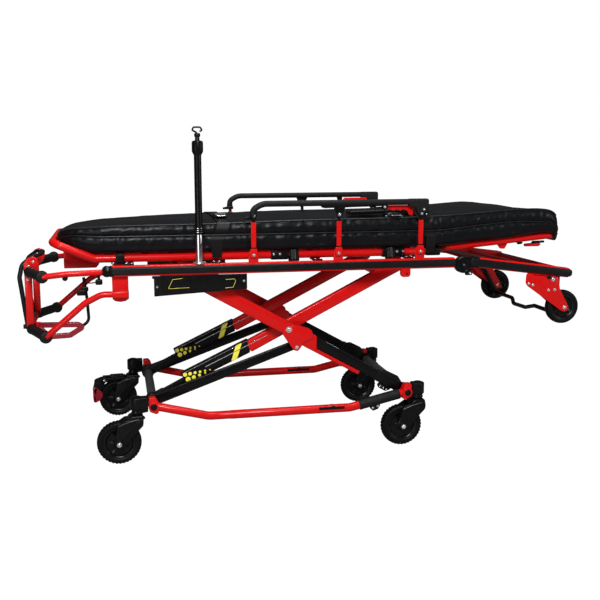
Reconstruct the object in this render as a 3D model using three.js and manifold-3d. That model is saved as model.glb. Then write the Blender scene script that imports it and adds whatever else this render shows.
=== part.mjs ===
// Stretcher trolley: an X-frame ambulance cot with telescoping legs, standing at mid height.
// Millimetres, +X towards the head end, +Z up, near side at -Y. The origin is on the floor,
// under the middle of the trolley. Every piece is one closed solid in its own named mesh.
import * as THREE from 'three';
import { mergeVertices } from 'three/addons/utils/BufferGeometryUtils.js';
import Module from 'manifold-3d';

const wasm = await Module();
wasm.setup();

// ---------------------------------------------------------------- driving dimensions

const GAP = 0.3;                         // clearance between touching pieces
const NEAR = -1;
const FAR = 1;
const SIDES = [['near', NEAR], ['far', FAR]];

const BASE_Z = 195;                      // height of both base cross tubes
const FOOT_X = -553;                     // foot-end cross tube
const HEAD_X = 349;                      // head-end cross tube
const CROSS = { x: -78, z: 436 };        // X pivot of the legs
const SIDE_Y = 290;                      // plane of the base tubes and casters
const CROSS_TUBE_R = 16;

const CASTER_R = 75;
const CASTER_TRAIL = 62;
const FOOT_SWIVEL_X = -609;
const HEAD_SWIVEL_X = 392;
const ARM_TOP = 226;
const CROWN_TOP = 163;

const LEG_B_Y = [237, 263];              // outer pair, head-end foot to foot-end top
const LEG_A_Y = [184, 212];              // inner pair, foot-end foot to head-end top
const LINK_Y = [216, 230];
const LEG_A_TOP = 455;                   // X pivot to litter pivot
const LEG_B_TOP = 431;                   // X pivot to track roller
const LINK_PIN = { x: -50, z: 371 };

const RAIL_Y = [280, 305];
const RAIL_Z = [643, 679];
const RAIL_X = [-676, 516];
const FRAME_Z = 697;                     // litter inner tube
const FRAME_Y = 240;
const FRAME_R = 12;
const HINGE_X = 470;                     // backrest hinge
const HUB = { x: 548, z: 653 };          // head section hinge
const HEAD_PITCH = -7.4;
const LOAD_AXLE = { x: 942, z: 487 };
const LOAD_R = 62.5;
const LOAD_Y = 292;

const POST_X = [-206, 90, 385];          // side rail posts
const POST_FOOT_Z = 705;
const POST_TOP_Z = 838;
const POST_Y = [302, 308];
const TOP_RAIL_Z = 876;

const MATTRESS_Y = 268;
const MATTRESS_Z = [713, 808];

const BRIDGE_X = -955;                   // foot-end uprights
const GRIP_Y = 147;

const rad = THREE.MathUtils.degToRad;

// ---------------------------------------------------------------- materials

const paint = {
  red: () => new THREE.MeshStandardMaterial({ color: 0xc8161a, roughness: 0.35, metalness: 0.3 }),
  black: () => new THREE.MeshStandardMaterial({ color: 0x141414, roughness: 0.5, metalness: 0.1 }),
  rubber: () => new THREE.MeshStandardMaterial({ color: 0x1b1b1b, roughness: 0.8, metalness: 0 }),
  grey: () => new THREE.MeshStandardMaterial({ color: 0x55565a, roughness: 0.4, metalness: 0.6 }),
  chrome: () => new THREE.MeshStandardMaterial({ color: 0xc9ccd0, roughness: 0.2, metalness: 1 }),
  vinyl: () => new THREE.MeshStandardMaterial({ color: 0x101010, roughness: 0.6, metalness: 0 }),
};

// ---------------------------------------------------------------- solids

function solid(geometry) {
  const bare = geometry.index ? geometry.toNonIndexed() : geometry.clone();
  bare.deleteAttribute('normal');
  bare.deleteAttribute('uv');
  const merged = mergeVertices(bare, 1e-4);
  return new wasm.Manifold(new wasm.Mesh({
    numProp: 3,
    vertProperties: new Float32Array(merged.attributes.position.array),
    triVerts: new Uint32Array(merged.index.array),
  }));
}

const join = (...bodies) => bodies.reduce((sum, body) => sum.add(body));
const cut = (body, ...tools) => tools.reduce((rest, tool) => rest.subtract(tool), body);

const root = new THREE.Group();

function piece(name, body, material) {
  const mesh = body.getMesh();
  const geometry = new THREE.BufferGeometry();
  geometry.setAttribute('position', new THREE.BufferAttribute(mesh.vertProperties, 3));
  geometry.setIndex(new THREE.BufferAttribute(mesh.triVerts, 1));
  geometry.computeVertexNormals();
  const node = new THREE.Mesh(geometry, material());
  node.name = name;
  root.add(node);
}

// A range of Y on one side of the trolley, lowest first.
const onSide = (side, [inner, outer]) => (side > 0 ? [inner, outer] : [-outer, -inner]);

function box([x0, x1], [y0, y1], [z0, z1]) {
  const geometry = new THREE.BoxGeometry(x1 - x0, y1 - y0, z1 - z0);
  geometry.translate((x0 + x1) / 2, (y0 + y1) / 2, (z0 + z1) / 2);
  return solid(geometry);
}

function rod(from, to, radius, sides = 10) {
  const a = new THREE.Vector3(...from);
  const b = new THREE.Vector3(...to);
  const axis = b.clone().sub(a);
  const geometry = new THREE.CylinderGeometry(radius, radius, axis.length(), sides);
  const turn = new THREE.Quaternion().setFromUnitVectors(new THREE.Vector3(0, 1, 0), axis.normalize());
  geometry.applyQuaternion(turn);
  geometry.translate((a.x + b.x) / 2, (a.y + b.y) / 2, (a.z + b.z) / 2);
  return solid(geometry);
}

// A disc, pin or bore along Y at a point of the XZ plane.
const disc = ({ x, z }, radius, [y0, y1], sides = 14) => rod([x, y0, z], [x, y1, z], radius, sides);

function ball([x, y, z], radius) {
  const geometry = new THREE.SphereGeometry(radius, 10, 6);
  geometry.translate(x, y, z);
  return solid(geometry);
}

// A plate cut to an outline in the XZ plane, with its thickness along Y.
function plate(outline, [y0, y1]) {
  const shape = new THREE.Shape(outline.map(([x, z]) => new THREE.Vector2(x, z)));
  const geometry = new THREE.ExtrudeGeometry(shape, { depth: y1 - y0, bevelEnabled: false });
  geometry.rotateX(Math.PI / 2);
  geometry.translate(0, y1, 0);
  return solid(geometry);
}

// A path through given points, which ExtrudeGeometry visits one by one.
class KnotCurve extends THREE.Curve {
  constructor(knots) {
    super();
    this.knots = knots;
  }

  getPoint(t, target = new THREE.Vector3()) {
    const place = t * (this.knots.length - 1);
    const index = Math.min(Math.floor(place), this.knots.length - 2);
    return target.lerpVectors(this.knots[index], this.knots[index + 1], place - index);
  }

  getPointAt(u, target) {
    return this.getPoint(u, target);
  }

  getTangentAt(u, target = new THREE.Vector3()) {
    const index = Math.round(u * (this.knots.length - 1));
    const here = this.knots[index];
    target.set(0, 0, 0);
    if (index > 0) target.add(here.clone().sub(this.knots[index - 1]).normalize());
    if (index < this.knots.length - 1) target.add(this.knots[index + 1].clone().sub(here).normalize());
    return target.normalize();
  }
}

// Straight runs through the corners given, with each corner rounded to a bend radius.
function bentPath(corners, bend, steps = 2) {
  const points = corners.map((corner) => new THREE.Vector3(...corner));
  const knots = [points[0]];
  for (let i = 1; i < points.length - 1; i += 1) {
    const into = points[i].clone().sub(points[i - 1]).normalize();
    const out = points[i + 1].clone().sub(points[i]).normalize();
    const reach = bend * Math.tan(into.angleTo(out) / 2);
    const arc = new THREE.QuadraticBezierCurve3(
      points[i].clone().addScaledVector(into, -reach),
      points[i],
      points[i].clone().addScaledVector(out, reach),
    );
    knots.push(...arc.getPoints(steps));
  }
  knots.push(points[points.length - 1]);
  return new KnotCurve(knots);
}

function tube(corners, radius, bend = 40, sides = 4) {
  const path = bentPath(corners, bend);
  const section = new THREE.Shape().absarc(0, 0, radius, 0, Math.PI * 2);
  return solid(new THREE.ExtrudeGeometry(section, {
    extrudePath: path,
    steps: path.knots.length - 1,
    curveSegments: sides,
  }));
}

// ---------------------------------------------------------------- legs' own axes

const footAngle = Math.atan2(CROSS.z - BASE_Z, CROSS.x - FOOT_X);
const headAngle = Math.atan2(CROSS.z - BASE_Z, HEAD_X - CROSS.x);
const LEG_A_FOOT = Math.hypot(CROSS.x - FOOT_X, CROSS.z - BASE_Z);
const LEG_B_FOOT = Math.hypot(HEAD_X - CROSS.x, CROSS.z - BASE_Z);

// Maps a distance down a leg from the X pivot, and a height above its axis, to the XZ plane.
const downA = ([s, up]) => [
  CROSS.x - s * Math.cos(footAngle) - up * Math.sin(footAngle),
  CROSS.z - s * Math.sin(footAngle) + up * Math.cos(footAngle),
];
const downB = ([s, up]) => [
  CROSS.x + s * Math.cos(headAngle) + up * Math.sin(headAngle),
  CROSS.z - s * Math.sin(headAngle) + up * Math.cos(headAngle),
];
const asPoint = ([x, z]) => ({ x, z });
const slab = (map, [s0, s1], [low, high], ys) =>
  plate([map([s0, low]), map([s1, low]), map([s1, high]), map([s0, high])], ys);

const FOOT_PIVOT = { x: FOOT_X, z: BASE_Z };
const HEAD_PIVOT = { x: HEAD_X, z: BASE_Z };
const LITTER_PIVOT = asPoint(downA([-LEG_A_TOP, 0]));
const TRACK_PIVOT = asPoint(downB([-LEG_B_TOP, 0]));

// ---------------------------------------------------------------- casters and base

function caster(name, swivelX, side, braked = false) {
  const y = side * SIDE_Y;
  const axle = { x: swivelX - CASTER_TRAIL, z: CASTER_R };
  const crown = box([swivelX - 34, swivelX + 24], [y - 33, y + 33], [CROWN_TOP - 9, CROWN_TOP]);
  const stem = rod([swivelX, y, CROWN_TOP - 4], [swivelX, y, 208], 8, 16);
  const cheeks = [[y - 33, y - 27], [y + 27, y + 33]].map((ys) => join(
    plate([
      [swivelX - 34, CROWN_TOP], [swivelX + 24, CROWN_TOP], [swivelX + 24, 142],
      [axle.x + 16, 68], [axle.x - 16, 80],
    ], ys),
    disc(axle, 17, ys),
  ));
  const spindle = disc(axle, 6, [y - 38, y + 38], 12);
  const brake = braked ? brakeArms() : [];
  piece(`${name}_fork`, join(crown, stem, ...cheeks, spindle, ...brake), paint.black);

  const half = [[6.6, 20], [22, 17], [47, 13], [54, 20], [68, 20], [CASTER_R, 9]];
  piece(`${name}_wheel`, wheel(half, axle, y), paint.rubber);
}

// A wheel turned about Y from half of its section, mirrored about its middle plane.
function wheel(half, axle, y) {
  const section = [...half, ...half.map(([r, h]) => [r, -h]).reverse(), half[0]];
  const profile = section.map(([r, h]) => new THREE.Vector2(r, h)).reverse();
  const geometry = new THREE.LatheGeometry(profile, 18);
  geometry.translate(axle.x, y, axle.z);
  return solid(geometry);
}

function cornerBlock(x, side) {
  const ys = onSide(side, [SIDE_Y - 17, SIDE_Y + 17]);
  return join(
    box([x - 16, x + 16], ys, [BASE_Z - 20, BASE_Z + 30]),
    disc({ x, z: BASE_Z }, 18, onSide(side, [SIDE_Y - 17, SIDE_Y + 19])),
  );
}

function casterArm(name, pivotX, swivelX, side) {
  const y = side * SIDE_Y;
  const outward = Math.sign(swivelX - pivotX);
  const start = pivotX + outward * (18 + GAP);
  const xs = [Math.min(start, swivelX), Math.max(start, swivelX)];
  const body = join(
    box(xs, [y - 17, y + 17], [178, ARM_TOP]),
    rod([swivelX, y, CROWN_TOP + 1], [swivelX, y, ARM_TOP + 4], 23, 24),
  );
  piece(name, cut(body, rod([swivelX, y, CROWN_TOP - 5], [swivelX, y, 212], 8.6, 16)), paint.black);
}

const TUBE_LOW_Z = 148.5;                // straight stretch of the bowed base tubes
const TUBE_BEND = 90;

function footSide(side, label) {
  const y = side * SIDE_Y;
  const outer = tube([[FOOT_X, y, BASE_Z], [-365, y, TUBE_LOW_Z], [-331, y, TUBE_LOW_Z]], 14.5, TUBE_BEND);
  const inner = rod([-332, y, TUBE_LOW_Z], [60, y, TUBE_LOW_Z], 12.5);
  piece(`foot_side_${label}`, join(cornerBlock(FOOT_X, side), outer, inner), paint.red);
}

function headSide(side, label) {
  const y = side * SIDE_Y;
  const run = tube([[-290, y, TUBE_LOW_Z], [140, y, TUBE_LOW_Z], [HEAD_X, y, BASE_Z]], 15.2, TUBE_BEND);
  const rise = (BASE_Z - TUBE_LOW_Z) / (HEAD_X - 140);
  const at = (x) => [x, y, TUBE_LOW_Z + (x - 140) * rise];
  const sleeve = rod(at(172), at(322), 18.5);
  const lug = box([208, 246], [y - 4, y + 4], [142, 166]);
  const bore = rod([-300, y, TUBE_LOW_Z], [104, y, TUBE_LOW_Z], 13.5);
  const slot = box([26, 100], onSide(side, [SIDE_Y + 3, SIDE_Y + 20]), [151, 156]);
  piece(`head_side_${label}`, join(cornerBlock(HEAD_X, side), cut(run, bore, slot), sleeve, lug), paint.red);
}

function base() {
  const half = SIDE_Y - 17 - GAP;
  piece('foot_cross_tube', disc(FOOT_PIVOT, CROSS_TUBE_R, [-half, half]), paint.grey);
  piece('head_cross_tube', disc(HEAD_PIVOT, CROSS_TUBE_R, [-half, half]), paint.grey);
  for (const [label, side] of SIDES) {
    footSide(side, label);
    headSide(side, label);
    casterArm(`foot_arm_${label}`, FOOT_X, FOOT_SWIVEL_X, side);
    casterArm(`head_arm_${label}`, HEAD_X, HEAD_SWIVEL_X, side);
    caster(`foot_caster_${label}`, FOOT_SWIVEL_X, side, side === FAR);
    caster(`head_caster_${label}`, HEAD_SWIVEL_X, side);
  }
}

// ---------------------------------------------------------------- brake pedal

const BRAKE_HINGE = { x: FOOT_SWIVEL_X - CASTER_TRAIL - 52, z: 152 };
const BRAKE_PIN_R = 3.6;

// Two arms and a pin on the far foot caster's fork, behind the wheel.
function brakeArms() {
  const { x, z } = BRAKE_HINGE;
  const crownX = FOOT_SWIVEL_X - 32;
  const outline = [[crownX, CROWN_TOP], [x - 8, z + 8], [x - 8, z - 8], [crownX, CROWN_TOP - 9]];
  const arms = [-1, 1].map((flip) => {
    const ys = [SIDE_Y + flip * 22, SIDE_Y + flip * 28].sort((a, b) => a - b);
    return plate([...outline].reverse(), ys);
  });
  return [...arms, disc(BRAKE_HINGE, BRAKE_PIN_R, [SIDE_Y - 30, SIDE_Y + 30], 12)];
}

function brakePedal() {
  const { x, z } = BRAKE_HINGE;
  const reach = [x - 40, z - 22];
  const tread = plate([
    [reach[0], reach[1] + 4], [reach[0] + 7, reach[1] + 2], [reach[0] - 3, 66], [reach[0] - 12, 66],
  ], [SIDE_Y - 24, SIDE_Y + 24]);
  const arms = [-1, 1].map((flip) => {
    const ys = [SIDE_Y + flip * 14, SIDE_Y + flip * 20].sort((a, b) => a - b);
    const arm = plate([[x, z + 8], [x, z - 6], [reach[0] + 6, reach[1] + 1], [reach[0], reach[1] + 12]], ys);
    return join(disc(BRAKE_HINGE, 9, ys), arm);
  });
  const hub = disc(BRAKE_HINGE, 6.5, [SIDE_Y - 20, SIDE_Y + 20], 12);
  const bore = disc(BRAKE_HINGE, BRAKE_PIN_R + 0.6, [SIDE_Y - 30, SIDE_Y + 30], 12);
  piece('brake_pedal', cut(join(tread, ...arms, hub), bore), paint.red);
}

// ---------------------------------------------------------------- X-frame legs

const INNER_B = [-15, 20];               // inner tube of leg B, about the leg's axis
const INNER_A = [-13, 13];

function legBUpper(side, label) {
  const ys = onSide(side, LEG_B_Y);
  const outline = [
    [-LEG_B_TOP, -24], [308, -24], [308, -16], [125, -16], [112, 8], [70, 24], [-LEG_B_TOP, 24],
  ];
  const shell = join(plate(outline.map(downB).reverse(), ys), disc(TRACK_PIVOT, 24, ys));
  const bore = slab(downB, [15, 400], [INNER_B[0] - 0.6, INNER_B[1] + 0.6], onSide(side, [239.6, 260.4]));
  const gusset = [
    [-98, 426], [-66, 368], [-58, 360], [-50, 357], [-42, 360], [-23, 388], [10, 400], [-40, 440],
  ];
  const cheeks = [[LEG_B_Y[1] - 1, LEG_B_Y[1] + 4], [LEG_B_Y[0] - 4, LEG_B_Y[0] + 1]]
    .map((range) => plate([...gusset].reverse(), onSide(side, range)));
  const crossPin = join(
    disc(CROSS, 8, onSide(side, [LEG_A_Y[0] - 4, LEG_B_Y[1] + 8])),
    disc(CROSS, 18, onSide(side, [LEG_A_Y[1] + GAP, LEG_B_Y[0] + 1])),
    disc(CROSS, 13, onSide(side, [LEG_B_Y[1] + 3, LEG_B_Y[1] + 9])),
  );
  const linkPin = join(
    disc(LINK_PIN, 6, onSide(side, [LEG_B_Y[0] - 4, LEG_B_Y[1] + 6]), 12),
    disc(LINK_PIN, 9, onSide(side, [LEG_B_Y[1] + 3, LEG_B_Y[1] + 8]), 12),
  );
  const roller = join(
    disc(TRACK_PIVOT, 7, onSide(side, [LEG_B_Y[1] - 1, 277]), 12),
    disc(TRACK_PIVOT, 15.4, onSide(side, [266, 277])),
  );
  const hollow = cut(join(shell, ...cheeks), bore);
  piece(`leg_b_upper_${label}`, join(hollow, crossPin, linkPin, roller), paint.red);
}

function legBLower(side, label) {
  const ys = onSide(side, [240, 260]);
  const inner = slab(downB, [78, LEG_B_FOOT], INNER_B, ys);
  const cover = slab(downB, [372, LEG_B_FOOT - 26], [-19, 22], onSide(side, [238, 262]));
  const lug = slab(downB, [LEG_B_FOOT - 118, LEG_B_FOOT - 66], [-36, -14], onSide(side, [246, 256]));
  const boss = disc(HEAD_PIVOT, 24, ys);
  const bore = disc(HEAD_PIVOT, CROSS_TUBE_R + 0.5, onSide(side, [230, 268]));
  piece(`leg_b_lower_${label}`, cut(join(inner, cover, lug, boss), bore), paint.black);
}

function legAUpper(side, label) {
  const ys = onSide(side, LEG_A_Y);
  const shell = join(
    slab(downA, [-LEG_A_TOP, 404], [-22, 22], ys),
    disc(LITTER_PIVOT, 22, ys),
  );
  const bore = slab(downA, [120, 420], [INNER_A[0] - 0.6, INNER_A[1] + 0.6], onSide(side, [187.4, 208.6]));
  const pivots = [CROSS, LITTER_PIVOT].map((pivot) => disc(pivot, 8.6, onSide(side, [170, 230])));
  piece(`leg_a_upper_${label}`, cut(shell, bore, ...pivots), paint.red);
}

function legALower(side, label) {
  const ys = onSide(side, [188, 208]);
  const inner = slab(downA, [226, LEG_A_FOOT], INNER_A, ys);
  const boss = disc(FOOT_PIVOT, 24, ys);
  const bore = disc(FOOT_PIVOT, CROSS_TUBE_R + 0.5, onSide(side, [180, 220]));
  piece(`leg_a_lower_${label}`, cut(join(inner, boss), bore), paint.black);
}

function linkBar(side, label) {
  const ys = onSide(side, LINK_Y);
  const angle = Math.atan2(LINK_PIN.z - BASE_Z, LINK_PIN.x - FOOT_X);
  const length = Math.hypot(LINK_PIN.z - BASE_Z, LINK_PIN.x - FOOT_X);
  const along = ([s, up]) => [
    FOOT_X + s * Math.cos(angle) - up * Math.sin(angle),
    BASE_Z + s * Math.sin(angle) + up * Math.cos(angle),
  ];
  const bar = plate([along([0, -19]), along([length, -16]), along([length, 16]), along([0, 19])], ys);
  const body = join(bar, disc(FOOT_PIVOT, 25, ys), disc(LINK_PIN, 16, ys));
  const bore = disc(FOOT_PIVOT, CROSS_TUBE_R + 0.5, onSide(side, [200, 240]));
  piece(`link_${label}`, cut(body, bore), paint.black);
}

function legs() {
  for (const [label, side] of SIDES) {
    legBUpper(side, label);
    legBLower(side, label);
    legAUpper(side, label);
    legALower(side, label);
    linkBar(side, label);
  }
  const acrossB = LEG_B_Y[0] - GAP;
  const acrossA = LEG_A_Y[0] - GAP;
  piece('leg_b_cross_bar', disc(TRACK_PIVOT, 12, [-acrossB, acrossB]), paint.red);
  piece('leg_a_cross_plate', slab(downA, [-404, -384], [-10, 10], [-acrossA, acrossA]), paint.red);
}

// ---------------------------------------------------------------- litter

const TRACK_X = [-520, -360];

function rail(side, label) {
  const ys = onSide(side, RAIL_Y);
  const middle = (RAIL_Y[0] + RAIL_Y[1]) / 2;
  const profile = join(
    box(RAIL_X, ys, RAIL_Z),
    box(RAIL_X, onSide(side, [300, 311]), [RAIL_Z[0] + 5, RAIL_Z[1] - 5]),
  );
  const cap = rod([-704, side * middle, 660], [RAIL_X[0] + 2, side * middle, 660], 20, 6);
  const trackZ = [TRACK_PIVOT.z - 21, TRACK_PIVOT.z - 17, TRACK_PIVOT.z + 17, TRACK_PIVOT.z + 21];
  const track = join(
    box(TRACK_X, onSide(side, [278, 281]), [trackZ[0], trackZ[3]]),
    box(TRACK_X, onSide(side, [265.5, 281]), [trackZ[0], trackZ[1]]),
    box(TRACK_X, onSide(side, [265.5, 281]), [trackZ[2], trackZ[3]]),
  );
  const saddles = [-620, -330, 20, 350].map((x) =>
    box([x - 16, x + 16], onSide(side, [FRAME_Y - 12, 292]), [RAIL_Z[1] - 1, FRAME_Z - FRAME_R - GAP]));
  const lugs = POST_X.map((x) => join(
    box([x - 13, x + 13], onSide(side, [294, 301.5]), [RAIL_Z[1] - 2, POST_FOOT_Z]),
    disc({ x, z: POST_FOOT_Z }, 13, onSide(side, [294, 301.5])),
    disc({ x, z: POST_FOOT_Z }, 5, onSide(side, [294, 309]), 12),
  ));
  const cup = box([-677, -624], onSide(side, [280, 286.5]), [557, RAIL_Z[0] + 1]);
  const stop = box([318, 352], onSide(side, [283, 303]), [614, RAIL_Z[0] + 1]);
  const cheek = join(
    box([470, 512], onSide(side, [266, 281]), [645, 672]),
    box([490, HUB.x], onSide(side, [266, 276]), [HUB.z - 14, HUB.z + 14]),
    disc(HUB, 14, onSide(side, [266, 276])),
  );
  const body = join(profile, cap, track, ...saddles, ...lugs, cup, stop, cheek);
  piece(`rail_${label}`, cut(body, disc(HUB, 8.6, onSide(side, [260, 300]))), paint.red);
}

function litterFrame() {
  const half = FRAME_Y;
  const corner = 26;
  const sideRun = (side) => tube([
    [HINGE_X, side * half, FRAME_Z], [-730, side * half, FRAME_Z], [-848, side * half, 745],
    [-866, side * (half - corner), 752], [-866, 0, 752],
  ], FRAME_R, 44);
  const crosses = [-560, -330, 20].map((x) =>
    box([x - 10, x + 10], [-half, half], [FRAME_Z - 8, FRAME_Z + 8]));
  const pivotX = LITTER_PIVOT.x;
  const beam = box([pivotX - 16, pivotX + 16], [-half, half], [FRAME_Z - 12, FRAME_Z + 8]);
  const hinge = disc({ x: HINGE_X, z: FRAME_Z }, FRAME_R, [-half, half]);
  const footBox = box([-850, -728], [-150, 150], [644, 654]);
  const hangers = [[-840, 738], [-750, 700]].map(([x, top]) => box([x - 6, x + 6], [-150, 150], [650, top]));
  const cheekYs = [[LEG_A_Y[0] - 8, LEG_A_Y[0] - 1], [LEG_A_Y[1] + 1, LEG_A_Y[1] + 8]];
  const brackets = SIDES.flatMap(([, side]) => cheekYs.map((range) => join(
    box([pivotX - 16, pivotX + 16], onSide(side, range), [LITTER_PIVOT.z, FRAME_Z - 4]),
    disc(LITTER_PIVOT, 16, onSide(side, range)),
  )));
  const pinYs = [LEG_A_Y[0] - 11, LEG_A_Y[1] + 11];
  const pins = SIDES.map(([, side]) => disc(LITTER_PIVOT, 8, onSide(side, pinYs)));
  const cross2 = box([-756, -744], [-half, half], [FRAME_Z - 4, FRAME_Z + 8]);
  const seam = ball([-866, 0, 752], FRAME_R);
  const deck = [...crosses, cross2, beam, hinge, footBox, ...hangers, ...brackets, ...pins];
  piece('litter_frame', join(sideRun(NEAR), sideRun(FAR), seam, ...deck), paint.red);
}

function footFrame() {
  const sideTubes = SIDES.map(([, side]) => {
    const upper = [[-704.3, side * 292, 658], [-820, side * 294, 655], [-898, side * 297, 648]];
    const lower = [
      [-626, side * 297, 583], [-712, side * 297, 585], [-766, side * 297, 558], [-894, side * 297, 449],
    ];
    const topGrip = [upper[2], [BRIDGE_X, side * GRIP_Y, 648]];
    const lowGrip = [lower[3], [BRIDGE_X, side * GRIP_Y, 452]];
    const upright = box([BRIDGE_X - 12, BRIDGE_X + 12], onSide(side, [GRIP_Y - 9, GRIP_Y + 9]), [440, 664]);
    return join(
      tube(upper, 10, 200), tube(lower, 10, 50), rod(...topGrip, 11), rod(...lowGrip, 11),
      ball(upper[2], 17), ball(lower[3], 17), upright,
      disc({ x: BRIDGE_X, z: 664 }, 19, onSide(side, [GRIP_Y - 5, GRIP_Y + 5])),
    );
  });
  const cross = rod([BRIDGE_X, -GRIP_Y, 455], [BRIDGE_X, GRIP_Y, 455], 9);
  piece('foot_frame', join(...sideTubes, cross), paint.red);
}

function releaseBar() {
  const half = 116;
  const bail = tube([
    [-974, -half, 446], [-996, -half, 625], [-984, -half + 6, 672], [-948, -half + 30, 700], [-925, -40, 704],
    [-925, 40, 704], [-948, half - 30, 700], [-984, half - 6, 672], [-996, half, 625], [-974, half, 446],
  ], 8, 30);
  const bosses = SIDES.map(([, side]) => join(
    rod([BRIDGE_X, side * (half - 8), 455], [BRIDGE_X, side * (half + 8), 455], 15),
    box([-980, BRIDGE_X], onSide(side, [half - 6, half + 6]), [446, 462]),
  ));
  const bore = rod([BRIDGE_X, -150, 455], [BRIDGE_X, 150, 455], 9.6);
  piece('release_bar', cut(join(bail, ...bosses), bore), paint.black);
}

function releaseHandle() {
  const ys = [-92, -84];
  const loop = cut(
    plate([
      [-900, 424], [-806, 428], [-778, 460], [-776, 474], [-800, 478], [-930, 474], [-940, 444],
    ], ys),
    plate([[-905, 440], [-905, 460], [-812, 462], [-822, 442]].reverse(), [-100, -70]),
  );
  const boss = rod([BRIDGE_X, -96, 455], [BRIDGE_X, -80, 455], 16);
  const arm = box([BRIDGE_X, -930], ys, [446, 464]);
  const link = tube([[-784, -88, 470], [-766, -88, 510], [-772, -88, 560], [-775, -88, 612]], 5, 30);
  const bore = rod([BRIDGE_X, -110, 455], [BRIDGE_X, -60, 455], 9.6);
  piece('release_handle', cut(join(loop, boss, arm, link), bore), paint.red);
}

// ---------------------------------------------------------------- head section

// Maps a distance along the head section from its hinge, and a height above it, to the XZ plane.
const alongHead = ([s, up]) => [
  HUB.x + s * Math.cos(rad(HEAD_PITCH)) - up * Math.sin(rad(HEAD_PITCH)),
  HUB.z + s * Math.sin(rad(HEAD_PITCH)) + up * Math.cos(rad(HEAD_PITCH)),
];
const HEAD_BAND = [-5, 31];              // head rails, about the line through the hinge

function headFrame() {
  const railsAndHubs = SIDES.map(([, side]) => join(
    slab(alongHead, [18, 424], HEAD_BAND, onSide(side, RAIL_Y)),
    slab(alongHead, [30, 426], [HEAD_BAND[0] + 5, HEAD_BAND[1] - 5], onSide(side, [300, 311])),
    disc(HUB, 30, onSide(side, [281.5, 311]), 28),
    disc(HUB, 8, onSide(side, [262, 284]), 16),
  ));
  const deck = slab(alongHead, [70, 190], [10, 20], [-281, 281]);
  const middle = slab(alongHead, [262, 296], [6, 20], [-281, 281]);
  const [frontX, frontZ] = alongHead([408, 13]);
  const front = rod([frontX, -281, frontZ], [frontX, 281, frontZ], 13);
  piece('head_frame', join(...railsAndHubs, deck, middle, front), paint.red);
}

function loadBracket(side, label) {
  const outline = [
    [784, 617], [781, 582], [788, 570], [842, 533], [926, 477], [934, 473],
    [942, 471.5], [951, 474], [957, 482], [957, 490], [918, 554], [908, 602],
  ];
  const cheeks = [[311.6, 315.6], [268, 272]].map((range) =>
    plate([...outline].reverse(), onSide(side, range)));
  const top = alongHead([365, HEAD_BAND[0] - GAP]);
  const start = alongHead([239, HEAD_BAND[0] - GAP]);
  const underside = [start, [start[0], start[1] - 5], [top[0], top[1] - 5], top].reverse();
  const bridge = plate(underside, onSide(side, [268, 315.6]));
  const axle = disc(LOAD_AXLE, 5, onSide(side, [265, 319]), 12);
  piece(`load_bracket_${label}`, join(...cheeks, bridge, axle), paint.red);
}

function safetyBar() {
  const pivot = { x: 872, z: 560 };
  const arms = SIDES.map(([, side]) => join(
    disc(pivot, 12, onSide(side, [258, 267.5])),
    plate([
      [pivot.x - 8, pivot.z], [924, 450], [944, 456], [pivot.x + 8, pivot.z + 6],
    ], onSide(side, [259, 266])),
  ));
  const bar = tube([
    [934, -264, 457], [934, -110, 457], [934, -70, 434], [934, 60, 434], [934, 100, 457], [934, 264, 457],
  ], 7, 30);
  piece('safety_bar', join(...arms, bar), paint.black);
}

function headSection() {
  headFrame();
  safetyBar();
  for (const [label, side] of SIDES) {
    loadBracket(side, label);
    const half = [[5.6, 17], [20, 13], [42, 10], [47, 16], [58, 15], [LOAD_R, 6]];
    piece(`load_wheel_${label}`, wheel(half, LOAD_AXLE, side * LOAD_Y), paint.rubber);
  }
}

// ---------------------------------------------------------------- side rails

const TAB_Y = [308.6, 312.6];

function sideRail(side, label) {
  const y = side * 305;
  POST_X.forEach((x, index) => {
    const ys = onSide(side, POST_Y);
    const post = join(
      box([x - 8, x + 8], ys, [POST_FOOT_Z, POST_TOP_Z]),
      disc({ x, z: POST_FOOT_Z }, 10, ys),
      disc({ x, z: POST_TOP_Z }, 8, ys),
    );
    const bores = [POST_FOOT_Z, POST_TOP_Z].map((z) => disc({ x, z }, 5.6, onSide(side, [296, 312]), 12));
    piece(`rail_post_${label}_${index + 1}`, cut(post, ...bores), paint.red);
  });
  const grip = tube([
    [POST_X[0] - 4, y, 854], [POST_X[0] + 24, y, TOP_RAIL_Z],
    [POST_X[2] + 14, y, TOP_RAIL_Z], [POST_X[2] + 22, y, 850],
  ], 10, 34);
  const tabs = [
    [[-12, 866], [-12, 838], [-8, 830], [0, 827], [8, 830], [12, 838], [14, 880]],
    [[-32, 880], [-12, 838], [-8, 830], [0, 827], [8, 830], [12, 838], [32, 880]],
    [[-18, 880], [-12, 834], [-4, 826], [14, 824], [24, 828], [24, 870], [20, 880]],
  ].map((outline, index) => join(
    plate(outline.map(([dx, z]) => [POST_X[index] + dx, z]), onSide(side, TAB_Y)),
    disc({ x: POST_X[index], z: POST_TOP_Z }, 5, onSide(side, [302, TAB_Y[1]]), 12),
  ));
  piece(`side_rail_${label}`, join(grip, ...tabs), paint.black);
  const wave = [[352, 862], [262, 862], [262, 852], [290, 846], [312, 852], [336, 846], [352, 850]];
  const pivot = disc({ x: 348, z: 856 }, 7, onSide(side, [286, 294.6]));
  piece(`side_latch_${label}`, join(plate(wave, onSide(side, [286, 292])), pivot), paint.red);
}

// ---------------------------------------------------------------- drip pole, backrest, mattress

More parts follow.
